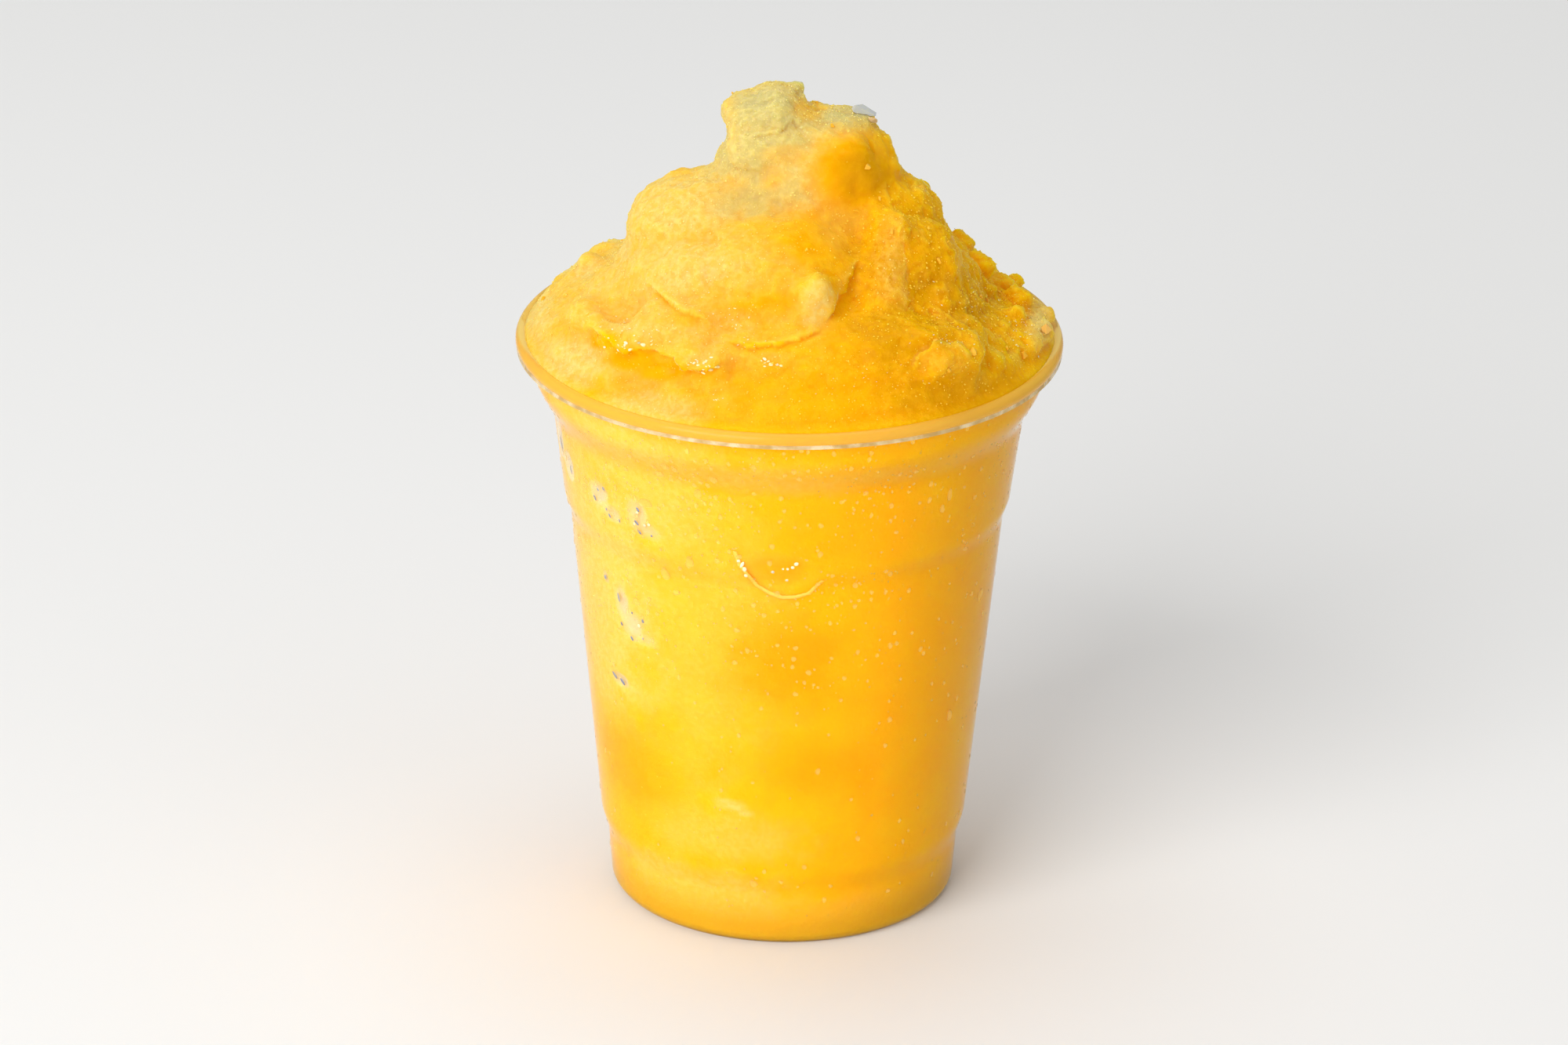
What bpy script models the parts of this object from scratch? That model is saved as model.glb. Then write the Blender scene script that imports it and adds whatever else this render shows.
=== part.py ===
# Pineapple lemonade slush, heaped above the rim of a clear plastic cup.
# Units are metres and +Z is up. The origin is on the ground, on the axis of the cup,
# and the side that the photograph shows faces -Y.

import math
import random

import bmesh
import bpy
import numpy as np

MM = 0.001

# Cup: heights above the ground and outside radii of the thin wall
CUP_HEIGHT = 107.1 * MM
RIM_RADIUS = 49.0 * MM
WALL = 0.5 * MM
ROLL_WIDTH = 2.3 * MM
ROLL_SKIRT = 1.15 * MM
NECK_TOP = (46.0 * MM, 103.0 * MM)
NECK_START = (45.8 * MM, 101.0 * MM)
NECK_FOOT = (42.1 * MM, 92.0 * MM)
UPPER_STEP_TOP = (40.33 * MM, 78.5 * MM)
UPPER_STEP_FOOT = (38.95 * MM, 73.0 * MM)
LOWER_STEP_TOP = (33.35 * MM, 16.2 * MM)
LOWER_STEP_FOOT = (31.85 * MM, 9.5 * MM)
FOOT_RADIUS = 31.3 * MM
FOOT_FILLET = 2.5 * MM
FOOT_INNER_RADIUS = 26.3 * MM
BASE_RISE = 3.0 * MM
BASE_SLOPE = 1.6 * MM
BASE_BEND = (25.34 * MM, 2.1 * MM)

# Slush: clearance to the cup, and the turned core of its heap as (radius, height)
GAP = 0.3 * MM
FILL_TOP = 106.9 * MM
HEAP_CORE = ((43.6, 104.0), (46.2, 107.8), (44.6, 110.8), (41.4, 113.2), (38.2, 115.4), (33.2, 117.2),
             (27.5, 121.5), (22.5, 127.0), (17.5, 132.5), (12.5, 138.5), (8.0, 144.0))
VOXEL = 1.2 * MM
GRAIN_SIZE = 5.0 * MM
GRAIN_DEPTH = 0.9 * MM
HEAP_TRIANGLES = 7400
SIDES = 56
SEED = 11

# Rounded masses of the heap in mm: centre, half sizes, turn about X, Y and Z in degrees
MASSES = {
    "peak_body": ((3.0, -1.0, 137.5), (16.6, 14.0, 12.0), (0, 0, 0)),
    "left_shoulder": ((-14.5, -4.0, 129.0), (15.4, 15.0, 9.8), (0, -6, 0)),
    "left_mass": ((-12.0, -9.0, 121.5), (18.5, 22.0, 12.0), (0, 0, 12)),
    "right_shoulder": ((14.0, -2.0, 131.0), (13.6, 13.0, 8.8), (0, 16, 0)),
    "right_flank": ((18.5, -5.0, 119.5), (17.0, 21.0, 9.6), (0, 14, 0)),
    "front_face": ((-2.5, -18.5, 124.4), (15.6, 14.0, 11.0), (24, 0, 0)),
    "front_apron": ((6.0, -31.0, 116.5), (24.0, 9.5, 5.6), (22, 0, 0)),
    "back_shoulder": ((-3.0, 13.0, 124.0), (21.0, 15.0, 9.0), (-20, 0, 0)),
    "back_apron": ((4.0, 26.0, 114.5), (26.0, 12.0, 6.0), (-14, 0, 8)),
    "egg_lump": ((4.4, -29.3, 125.1), (3.8, 3.4, 6.2), (30, 6, 0)),
    "ledge_lump": ((-20.0, -29.0, 119.5), (8.0, 7.0, 4.0), (20, 0, -25)),
    "left_slope": ((-25.0, -8.0, 116.0), (12.0, 14.0, 7.0), (0, 0, 0)),
    "right_face": ((21.0, -12.0, 124.0), (9.5, 9.0, 10.0), (0, 0, 0)),
    "right_slope": ((24.0, -22.0, 115.0), (11.0, 11.0, 5.0), (0, 0, 0)),
}

# Broken blocks of the heap in mm: centre, half sizes, turn in degrees, rounding
BLOCKS = {
    "peak_block": ((-5.0, -1.0, 145.5), (6.3, 6.5, 6.6), (0, -15, 8), 1.4),
    "second_block": ((7.4, 0.5, 143.8), (6.2, 6.0, 5.2), (0, 8, -12), 1.4),
    "tongue": ((17.0, -19.6, 127.9), (3.4, 3.2, 9.8), (-43, 0, -4), 1.4),
    "right_chunk": ((27.3, -31.2, 114.8), (6.0, 4.2, 4.6), (24, 10, 38), 1.6),
}

# Hollows of the heap in mm, written as the masses are
HOLLOWS = {
    "egg_side": ((11.2, -33.0, 126.2), (3.0, 4.0, 5.6), (24, -8, 0)),
    "left_crease": ((-19.0, -33.6, 124.0), (7.0, 2.0, 1.3), (30, 12, -28)),
    "front_crease": ((-5.0, -37.0, 122.6), (7.0, 1.8, 1.4), (20, 0, -6)),
    "left_pool": ((-27.0, -36.6, 111.6), (8.0, 4.2, 3.0), (0, 0, -36)),
}

# Wet ridge of lumps along the left front of the skirt
RIDGE_LUMPS = 9
RIDGE_AZIMUTHS = (206.0, 250.0)
RIDGE_RADIUS = 39.6 * MM
RIDGE_HEIGHT = 116.6 * MM
RIDGE_LUMP = 3.6 * MM
RIDGE_SHIFTS = (1.5, 1.2 * MM, 1.0 * MM)
RIDGE_FLATNESS = 0.8

# Ice crystals on the rough flank: their azimuths run from the front right round to the back
CRYSTALS = 40
CRYSTAL_AZIMUTHS = (-50.0, 170.0)
CRYSTAL_HEIGHTS = (110.0 * MM, 140.0 * MM)
CRYSTAL_SIZES = (1.6 * MM, 3.0 * MM)
CRYSTAL_SHIFT = (-0.8 * MM, 1.8 * MM)
CRYSTAL_SHAPE = (0.7, 1.3)

# Crag that leans over the rim at the right, as azimuth, radius and height in degrees and mm
CRAGS = (
    (-8.0, 44.2, 109.6, 3.4),
    (4.0, 44.2, 109.4, 3.6),
    (-17.0, 43.4, 110.0, 3.2),
    (15.0, 42.6, 110.2, 3.2),
)
CRAG_SHAPE = (1.0, 1.2, 0.7)
CRAG_LEAN = -12

# Ring cut from the heap round the rim: how far out and down it reaches
RING_OUT = 12.0 * MM
RING_DOWN = 3.0 * MM


def clear_scene():
    for obj in list(bpy.data.objects):
        bpy.data.objects.remove(obj)


def new_collection(name):
    collection = bpy.data.collections.new(name)
    bpy.context.scene.collection.children.link(collection)
    return collection


def new_object(name, mesh, collection):
    obj = bpy.data.objects.new(name, mesh)
    collection.objects.link(obj)
    return obj


def principled(name, colour, roughness, transmission=0.0):
    material = bpy.data.materials.new(name)
    material.use_nodes = True
    shader = material.node_tree.nodes["Principled BSDF"]
    shader.inputs["Base Color"].default_value = (*colour, 1.0)
    shader.inputs["Roughness"].default_value = roughness
    shader.inputs["Metallic"].default_value = 0.0
    shader.inputs["Transmission Weight"].default_value = transmission
    return material


def apply_modifiers(obj):
    evaluated = obj.evaluated_get(bpy.context.evaluated_depsgraph_get())
    mesh = bpy.data.meshes.new_from_object(evaluated)
    obj.modifiers.clear()
    obj.data = mesh


def smooth(obj, angle=40.0):
    obj.data.shade_smooth()
    obj.data.set_sharp_from_angle(angle=math.radians(angle))


def s_curve(top, foot, segments):
    # Points of a soft step in the wall, from its top down to its foot
    points = []
    for i in range(segments + 1):
        t = i / segments
        blend = t * t * (3 - 2 * t)
        points.append((top[0] + (foot[0] - top[0]) * blend, top[1] + (foot[1] - top[1]) * t))
    return points


def arc(centre, radius, start, end, segments):
    angles = [math.radians(start + (end - start) * i / segments) for i in range(segments + 1)]
    return [(centre[0] + radius * math.cos(a), centre[1] + radius * math.sin(a)) for a in angles]


def offset_path(path, distance):
    # Moves each point of an outline to the inside of the cup, along the mean of its two normals
    points = np.array(path)
    steps = np.diff(points, axis=0)
    steps /= np.linalg.norm(steps, axis=1)[:, None]
    normals = np.stack([steps[:, 1], -steps[:, 0]], axis=1)
    before = np.vstack([normals[:1], normals])
    after = np.vstack([normals, normals[-1:]])
    mean = before + after
    mean /= np.linalg.norm(mean, axis=1)[:, None]
    reach = distance / (mean * before).sum(axis=1)
    moved = points + mean * reach[:, None]
    return [tuple(p) for p in moved]


def wall_outline():
    # Outside of the cup as (radius, height), from under the rolled rim down to the axis
    roll_centre = CUP_HEIGHT - ROLL_WIDTH / 2
    outline = [(RIM_RADIUS - ROLL_WIDTH + WALL, roll_centre), NECK_TOP]
    outline += s_curve(NECK_START, NECK_FOOT, 3)
    outline += s_curve(UPPER_STEP_TOP, UPPER_STEP_FOOT, 2)
    outline += s_curve(LOWER_STEP_TOP, LOWER_STEP_FOOT, 2)
    outline += arc((FOOT_RADIUS - FOOT_FILLET, FOOT_FILLET), FOOT_FILLET, 0, -90, 3)
    outline.append((FOOT_INNER_RADIUS, 0.0))
    outline.append(BASE_BEND)
    outline.append((FOOT_INNER_RADIUS - BASE_SLOPE, BASE_RISE))
    outline.append((0.0, BASE_RISE))
    return outline


def cup_profile():
    outside = wall_outline()
    inside = offset_path(outside, WALL)
    inside[-1] = (0.0, BASE_RISE + WALL)
    centre = (RIM_RADIUS - ROLL_WIDTH / 2, CUP_HEIGHT - ROLL_WIDTH / 2)
    over_roll = arc(centre, ROLL_WIDTH / 2, 180, 0, 6)
    under_roll = arc(centre, ROLL_WIDTH / 2 - WALL, 0, 180, 4)
    lip = [(RIM_RADIUS, centre[1] - ROLL_SKIRT), (RIM_RADIUS - WALL, centre[1] - ROLL_SKIRT)]
    return inside[::-1][:-1] + over_roll + lip + under_roll + outside[1:]


def turned(name, profile, collection):
    mesh = bpy.data.meshes.new(name)
    edges = [(i, i + 1) for i in range(len(profile) - 1)]
    mesh.from_pydata([(radius, 0.0, height) for radius, height in profile], edges, [])
    obj = new_object(name, mesh, collection)
    screw = obj.modifiers.new("turn", "SCREW")
    screw.steps = SIDES
    screw.render_steps = SIDES
    screw.use_merge_vertices = True
    screw.merge_threshold = 0.00001
    return obj


def make_cup(collection):
    cup = turned("cup", cup_profile(), collection)
    apply_modifiers(cup)
    cup.data.materials.append(principled("clear_plastic", (0.95, 0.97, 0.96), 0.04, 1.0))
    smooth(cup, 30.0)
    return cup


def fill_profile():
    # The slush inside the cup, from the top of its axis down its side to the foot of its axis
    side = offset_path(wall_outline(), WALL + GAP)
    side[-1] = (0.0, BASE_RISE + WALL + GAP)
    return [(0.0, FILL_TOP), (side[0][0], FILL_TOP)] + side


def place(mesh, centre, half, turn):
    # Sizes and turns a unit shape, then moves it to its place in the heap
    points = np.array([v.co for v in mesh.vertices]) * np.array(half)
    ax, ay, az = (math.radians(angle) for angle in turn)
    about_x = np.array([[1, 0, 0], [0, math.cos(ax), -math.sin(ax)], [0, math.sin(ax), math.cos(ax)]])
    about_y = np.array([[math.cos(ay), 0, math.sin(ay)], [0, 1, 0], [-math.sin(ay), 0, math.cos(ay)]])
    about_z = np.array([[math.cos(az), -math.sin(az), 0], [math.sin(az), math.cos(az), 0], [0, 0, 1]])
    points = points @ (about_z @ about_y @ about_x).T + np.array(centre)
    mesh.vertices.foreach_set("co", points.ravel())
    mesh.update()


def add_mass(name, centre, half, turn, collection, detail=3):
    mesh = bpy.data.meshes.new(name)
    bm = bmesh.new()
    bmesh.ops.create_icosphere(bm, subdivisions=detail, radius=1.0)
    bm.to_mesh(mesh)
    bm.free()
    place(mesh, centre, half, turn)
    return new_object(name, mesh, collection)


def add_block(name, centre, half, turn, rounding, collection):
    mesh = bpy.data.meshes.new(name)
    bm = bmesh.new()
    bmesh.ops.create_cube(bm, size=2.0)
    bmesh.ops.scale(bm, vec=half, verts=bm.verts)
    bmesh.ops.bevel(bm, geom=bm.edges[:], offset=rounding, segments=2, affect="EDGES", profile=0.5)
    bm.to_mesh(mesh)
    bm.free()
    place(mesh, centre, (1.0, 1.0, 1.0), turn)
    return new_object(name, mesh, collection)


def on_circle(azimuth, radius, height):
    angle = math.radians(azimuth)
    return (radius * math.cos(angle), radius * math.sin(angle), height)


def scaled(values):
    return tuple(value * MM for value in values)


def add_heap_masses(collection):
    for name, (centre, half, turn) in MASSES.items():
        add_mass(name, scaled(centre), scaled(half), turn, collection)
    for name, (centre, half, turn, rounding) in BLOCKS.items():
        add_block(name, scaled(centre), scaled(half), turn, rounding * MM, collection)


def add_ridge(collection, draw):
    first, last = RIDGE_AZIMUTHS
    turn_shift, out_shift, up_shift = RIDGE_SHIFTS
    for i in range(RIDGE_LUMPS):
        azimuth = first + (last - first) * i / (RIDGE_LUMPS - 1) + draw.uniform(-turn_shift, turn_shift)
        radius = RIDGE_RADIUS + draw.uniform(-out_shift, out_shift)
        size = RIDGE_LUMP * draw.uniform(0.8, 1.15)
        centre = on_circle(azimuth, radius, RIDGE_HEIGHT + draw.uniform(-up_shift, up_shift))
        add_mass("ridge_lump", centre, (size, size, size * RIDGE_FLATNESS), (0, 0, azimuth), collection, 2)


def add_crystals(collection, draw):
    heights = [height * MM for _, height in HEAP_CORE]
    radii = [radius * MM for radius, _ in HEAP_CORE]
    first, last = CRYSTAL_AZIMUTHS
    for i in range(CRYSTALS):
        azimuth = first + (last - first) * (i + draw.random()) / CRYSTALS
        height = draw.uniform(*CRYSTAL_HEIGHTS)
        radius = float(np.interp(height, heights, radii)) + draw.uniform(*CRYSTAL_SHIFT)
        size = draw.uniform(*CRYSTAL_SIZES)
        half = [size * draw.uniform(*CRYSTAL_SHAPE) for _ in range(3)]
        turn = [draw.uniform(0, 90) for _ in range(3)]
        add_mass("crystal", on_circle(azimuth, radius, height), half, turn, collection, 1)
    for azimuth, radius, height, size in CRAGS:
        centre = on_circle(azimuth, radius * MM, height * MM)
        half = [size * share * MM for share in CRAG_SHAPE]
        add_mass("crag", centre, half, (0, CRAG_LEAN, azimuth), collection, 2)


def boolean(obj, operation, collection, solver="EXACT"):
    cut = obj.modifiers.new(operation.lower(), "BOOLEAN")
    cut.operation = operation
    cut.operand_type = "COLLECTION"
    cut.collection = collection
    cut.solver = solver
    apply_modifiers(obj)
    for piece in list(collection.objects):
        bpy.data.objects.remove(piece)


def soften_and_roughen(heap):
    # Melts the masses together, adds the coarse grain of the ice and thins the mesh again
    remesh = heap.modifiers.new("melt", "REMESH")
    remesh.mode = "VOXEL"
    remesh.voxel_size = VOXEL
    soften = heap.modifiers.new("soften", "SMOOTH")
    soften.factor = 0.5
    soften.iterations = 2
    grain = bpy.data.textures.new("coarse_grain", "CLOUDS")
    grain.noise_scale = GRAIN_SIZE
    grain.noise_depth = 2
    roughen = heap.modifiers.new("roughen", "DISPLACE")
    roughen.texture = grain
    roughen.texture_coords = "LOCAL"
    roughen.strength = 2 * GRAIN_DEPTH
    roughen.mid_level = 0.5
    apply_modifiers(heap)
    thin = heap.modifiers.new("thin", "DECIMATE")
    heap.data.calc_loop_triangles()
    thin.ratio = HEAP_TRIANGLES / len(heap.data.loop_triangles)
    thin.use_collapse_triangulate = True
    apply_modifiers(heap)


def rim_clearance(collection):
    # Ring that keeps the heap clear of the rolled rim and of the wall below it
    inner = RIM_RADIUS - ROLL_WIDTH - GAP
    outer = RIM_RADIUS + RING_OUT
    top = CUP_HEIGHT + GAP
    bottom = FILL_TOP - RING_DOWN
    profile = [(inner, top), (outer, top), (outer, bottom), (inner, bottom), (inner, top)]
    ring = turned("rim_clearance", profile, collection)
    ring.hide_render = True
    ring.display_type = "WIRE"
    return ring


def make_slush(collection, cutters):
    draw = random.Random(SEED)
    masses = new_collection("heap masses")
    core = [(0.0, HEAP_CORE[-1][1] * MM)] + [scaled(point) for point in HEAP_CORE[::-1]]
    core.append((0.0, HEAP_CORE[0][1] * MM))
    heap = turned("heap", core, collection)
    apply_modifiers(heap)
    add_heap_masses(masses)
    add_ridge(masses, draw)
    add_crystals(masses, draw)
    boolean(heap, "UNION", masses, "MANIFOLD")
    for name, (centre, half, turn) in HOLLOWS.items():
        add_mass(name, scaled(centre), scaled(half), turn, masses)
    boolean(heap, "DIFFERENCE", masses, "MANIFOLD")
    soften_and_roughen(heap)
    rim_clearance(cutters)
    boolean(heap, "DIFFERENCE", cutters)
    slush = turned("slush", fill_profile(), collection)
    apply_modifiers(slush)
    masses.objects.link(heap)
    collection.objects.unlink(heap)
    boolean(slush, "UNION", masses)
    slush.data.materials.clear()
    slush.data.materials.append(principled("pineapple_slush", (1.0, 0.62, 0.09), 0.35))
    smooth(slush, 60.0)
    return slush


def build_drink():
    clear_scene()
    drink = new_collection("pineapple lemonade")
    cutters = new_collection("cutters")
    make_cup(drink)
    make_slush(drink, cutters)


build_drink()
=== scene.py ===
# Frozen pineapple lemonade, a slush heaped above the rim of a clear plastic cup
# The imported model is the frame. Lengths in the dictionaries are in millimetres, but those of the
# camera and the lamps are in metres.

import math

import bmesh
import bpy
import numpy as np
from mathutils import Matrix, Vector, noise


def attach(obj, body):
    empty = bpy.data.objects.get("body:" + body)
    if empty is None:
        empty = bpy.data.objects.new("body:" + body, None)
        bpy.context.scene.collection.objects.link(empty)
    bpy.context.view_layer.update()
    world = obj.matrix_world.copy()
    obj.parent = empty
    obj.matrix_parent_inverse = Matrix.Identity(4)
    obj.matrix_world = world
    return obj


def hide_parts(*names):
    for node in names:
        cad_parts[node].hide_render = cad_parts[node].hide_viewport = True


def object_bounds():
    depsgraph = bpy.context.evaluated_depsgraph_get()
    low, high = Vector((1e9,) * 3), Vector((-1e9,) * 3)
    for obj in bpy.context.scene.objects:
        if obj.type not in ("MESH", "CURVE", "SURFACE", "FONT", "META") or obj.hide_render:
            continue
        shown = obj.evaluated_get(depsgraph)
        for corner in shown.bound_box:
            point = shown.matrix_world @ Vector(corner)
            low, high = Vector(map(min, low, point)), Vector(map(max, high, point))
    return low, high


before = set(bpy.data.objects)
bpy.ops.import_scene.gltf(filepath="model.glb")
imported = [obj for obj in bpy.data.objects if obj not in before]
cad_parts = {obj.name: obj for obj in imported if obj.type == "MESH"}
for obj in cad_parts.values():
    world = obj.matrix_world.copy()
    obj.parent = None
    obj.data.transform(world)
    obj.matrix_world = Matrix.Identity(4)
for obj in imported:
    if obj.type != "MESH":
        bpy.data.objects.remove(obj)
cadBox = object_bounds()
mm = 0.001

print("frame loaded")


# Camera: long lens, looking down a little, level but for a slight tilt
view = {
    "place": (-0.00051, -1.3787, 0.6608),
    "downwards": 23.2,
    "tilt": 0.8,
    "lens": 190.7,
    "sensor": 36,
    "clip": (0.1, 20),
}
eye = np.array(view["place"]) / mm


def addObject(name, data):
    ob = bpy.data.objects.new(name, data)
    bpy.context.scene.collection.objects.link(ob)
    return ob


def turnedBy(degrees, axis):
    return Matrix.Rotation(math.radians(degrees), 4, axis)


def makeCamera():
    data = bpy.data.cameras.new("camera")
    data.lens = view["lens"]
    data.sensor_width = view["sensor"]
    data.clip_start, data.clip_end = view["clip"]
    camera = addObject("camera", data)
    aim = turnedBy(90 - view["downwards"], "X") @ turnedBy(view["tilt"], "Z")
    camera.matrix_world = Matrix.Translation(view["place"]) @ aim
    bpy.context.scene.camera = camera


makeCamera()
print("camera set")


# Small tools that every piece uses
def ease(low, high, value):
    t = np.clip((value - low) / (high - low), 0.0, 1.0)
    return t * t * (3 - 2 * t)


def makeMesh(name, points, faces, material, isSmooth=True):
    mesh = bpy.data.meshes.new(name)
    mesh.from_pydata([tuple(p) for p in np.asarray(points) * mm], [], faces)
    mesh.materials.append(material)
    if isSmooth:
        mesh.shade_smooth()
    mesh.update()
    return addObject(name, mesh)


def joinRings(first, rings, sides, base, top):
    # Faces of a form made of rings of points, closed by a point below the first and one above the last
    faces = []
    last = first + (rings - 1) * sides
    for low in range(first, last, sides):
        high = low + sides
        faces += [(low + j, low + (j + 1) % sides, high + (j + 1) % sides, high + j) for j in range(sides)]
    faces += [(first + (j + 1) % sides, first + j, base) for j in range(sides)]
    faces += [(last + j, last + (j + 1) % sides, top) for j in range(sides)]
    return faces


def countTriangles(mesh):
    mesh.calc_loop_triangles()
    return len(mesh.loop_triangles)


def faceOutwards(mesh):
    bm = bmesh.new()
    bm.from_mesh(mesh)
    bmesh.ops.recalc_face_normals(bm, faces=bm.faces)
    if bm.calc_volume(signed=True) < 0:
        bmesh.ops.reverse_faces(bm, faces=bm.faces)
    bm.to_mesh(mesh)
    bm.free()


def addMask(mesh, name, values):
    layer = mesh.attributes.new(name, "FLOAT", "POINT")
    layer.data.foreach_set("value", np.asarray(values, dtype=np.float32))


def noiseAt(points, size, seed=0.0):
    shift = Vector((seed, seed * 1.7, seed * 2.3))
    return np.array([noise.noise(Vector(p) / size + shift) for p in points])


def arc(centre, radius, start, end, steps):
    angles = [math.radians(start + (end - start) * i / steps) for i in range(steps + 1)]
    return [(centre[0] + radius * math.cos(a), centre[1] + radius * math.sin(a)) for a in angles]


def softStep(top, foot, steps):
    # A step moulded in the wall, from its top to its foot
    shares = [i / steps for i in range(steps + 1)]
    return [(top[0] + (foot[0] - top[0]) * t * t * (3 - 2 * t), top[1] + (foot[1] - top[1]) * t) for t in shares]


def insideOf(path, distance):
    # The same outline, moved towards the inside of the cup
    line = np.array(path)
    steps = np.diff(line, axis=0)
    steps /= np.linalg.norm(steps, axis=1)[:, None]
    normals = np.stack([steps[:, 1], -steps[:, 0]], axis=1)
    before = np.vstack([normals[:1], normals])
    mean = before + np.vstack([normals, normals[-1:]])
    mean /= np.linalg.norm(mean, axis=1)[:, None]
    return [tuple(p) for p in line + mean * (distance / (mean * before).sum(axis=1))[:, None]]


# Cup: turned wall with a rolled rim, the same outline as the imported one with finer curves
cupForm = {
    "height": 107.1,
    "rimRadius": 49,
    "wall": 0.5,
    "rollWidth": 2.3,
    "underRoll": (46.6, 104.2),
    "cutEdge": ((48.85, 104.55), (48.3, 104.5), (48.15, 105), (47.6, 104.95), (47.05, 104.7)),
    "neckTop": (46, 103),
    "neckFlare": (45.8, 101),
    "neckFoot": (42.1, 92),
    "upperStep": ((40.33, 78.5), (38.95, 73)),
    "lowerStep": ((33.35, 16.2), (31.85, 9.5)),
    "footRadius": 31.3,
    "footFillet": 2.5,
    "footInside": 26.3,
    "baseRise": 3,
    "baseSlope": 1.6,
    "sides": 256,
    "sharpAngle": 50,
    "cutZone": (104.4, 105.3, 48),
    "wetRadius": 47,
}


def wallOutline():
    c = cupForm
    rollMiddle = c["height"] - c["rollWidth"] / 2
    line = [(c["rimRadius"] - c["rollWidth"] + c["wall"], rollMiddle), c["underRoll"], c["neckTop"]]
    line += softStep(c["neckFlare"], c["neckFoot"], 12)
    line += softStep(*c["upperStep"], 10)
    line += softStep(*c["lowerStep"], 10)
    fillet = c["footFillet"]
    line += arc((c["footRadius"] - fillet, fillet), fillet, 0, -90, 10)
    line += [(c["footInside"], 0.0), (c["footInside"] - 0.6 * c["baseSlope"], 0.7 * c["baseRise"])]
    line += [(c["footInside"] - c["baseSlope"], c["baseRise"]), (0.0, c["baseRise"])]
    return line


def cupOutline():
    c = cupForm
    outside = wallOutline()
    inside = insideOf(outside, c["wall"])
    inside[-1] = (0.0, c["baseRise"] + c["wall"])
    half = c["rollWidth"] / 2
    middle = (c["rimRadius"] - half, c["height"] - half)
    roll = arc(middle, half, 180, -38, 28)
    return inside[::-1][:-1] + roll + list(c["cutEdge"]) + outside[1:]


def turn(outline, sides):
    # Points and faces of a turned form whose outline starts and ends on the axis
    angles = np.linspace(0, 2 * math.pi, sides, endpoint=False)
    rings = outline[1:-1]
    points = [(0.0, 0.0, outline[0][1]), (0.0, 0.0, outline[-1][1])]
    for radius, height in rings:
        points += [(radius * math.cos(a), radius * math.sin(a), height) for a in angles]
    return points, joinRings(2, len(rings), sides, 0, 1)


def setInputs(tree, node, inputs):
    # Each input gets the value given, or is joined to the output given
    for name, value in inputs.items():
        socket = node.inputs[name]
        if isinstance(value, bpy.types.NodeSocket):
            tree.links.new(value, socket)
        else:
            socket.default_value = (*value, 1) if socket.type == "RGBA" else value


def addNode(tree, kind, inputs, **settings):
    node = tree.nodes.new("ShaderNode" + kind)
    for name, value in settings.items():
        setattr(node, name, value)
    setInputs(tree, node, inputs)
    return node


def maskOf(tree, name):
    return addNode(tree, "Attribute", {}, attribute_name=name).outputs["Fac"]


def placeOn(tree):
    return addNode(tree, "TexCoord", {}).outputs["Object"]


def noiseOn(tree, scale, detail):
    return addNode(tree, "TexNoise", {"Vector": placeOn(tree), "Scale": scale, "Detail": detail}).outputs["Fac"]


def ranged(tree, value, start, end, low=0.0, high=1.0):
    # Runs from low to high while the value runs from start to end
    inputs = {"Value": value, "From Min": start, "From Max": end, "To Min": low, "To Max": high}
    return addNode(tree, "MapRange", inputs).outputs["Result"]


def product(tree, first, second):
    return addNode(tree, "Math", {0: first, 1: second}, operation="MULTIPLY").outputs[0]


def mixed(tree, base, other, amount):
    # Runs from base to other; each is a colour or an output
    return addNode(tree, "Mix", {"A": base, "B": other, "Factor": amount}, data_type="RGBA").outputs["Result"]


def letLampsThrough(tree, shader):
    # Clear pieces let the lamps shine on what they hold
    isShadow = addNode(tree, "LightPath", {}).outputs["Is Shadow Ray"]
    clear = addNode(tree, "BsdfTransparent", {}).outputs[0]
    mix = addNode(tree, "MixShader", {0: isShadow, 1: shader.outputs[0], 2: clear})
    setInputs(tree, tree.nodes["Material Output"], {"Surface": mix.outputs[0]})


def newMaterial(name):
    material = bpy.data.materials.new(name)
    material.use_nodes = True
    return material, material.node_tree, material.node_tree.nodes["Principled BSDF"]


def newGroup(name, inputs, outputs):
    tree = bpy.data.node_groups.new(name, "ShaderNodeTree")
    for socket, value in inputs.items():
        tree.interface.new_socket(socket, in_out="INPUT", socket_type="NodeSocketFloat").default_value = value
    for socket in outputs:
        tree.interface.new_socket(socket, in_out="OUTPUT", socket_type="NodeSocketFloat")
    return tree, tree.nodes.new("NodeGroupInput").outputs, tree.nodes.new("NodeGroupOutput")


def mistGroup():
    # Fine uneven mist: a mask and a height, for anything that carries condensation or frost
    tree, start, end = newGroup("fineMist", {"Size": 0.8, "Patchiness": 0.5}, ("Mask", "Height"))
    scale = addNode(tree, "Math", {0: 1 / mm, 1: start["Size"]}, operation="DIVIDE").outputs[0]
    fine = noiseOn(tree, scale, 4)
    gap = ranged(tree, noiseOn(tree, 90, 3), 0.35, 0.65)
    weight = addNode(tree, "Mix", {"A": 1.0, "B": gap, "Factor": start["Patchiness"]}).outputs["Result"]
    setInputs(tree, end, {"Mask": product(tree, weight, ranged(tree, fine, 0.42, 0.68)), "Height": fine})
    return tree


fineMist = mistGroup()


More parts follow.
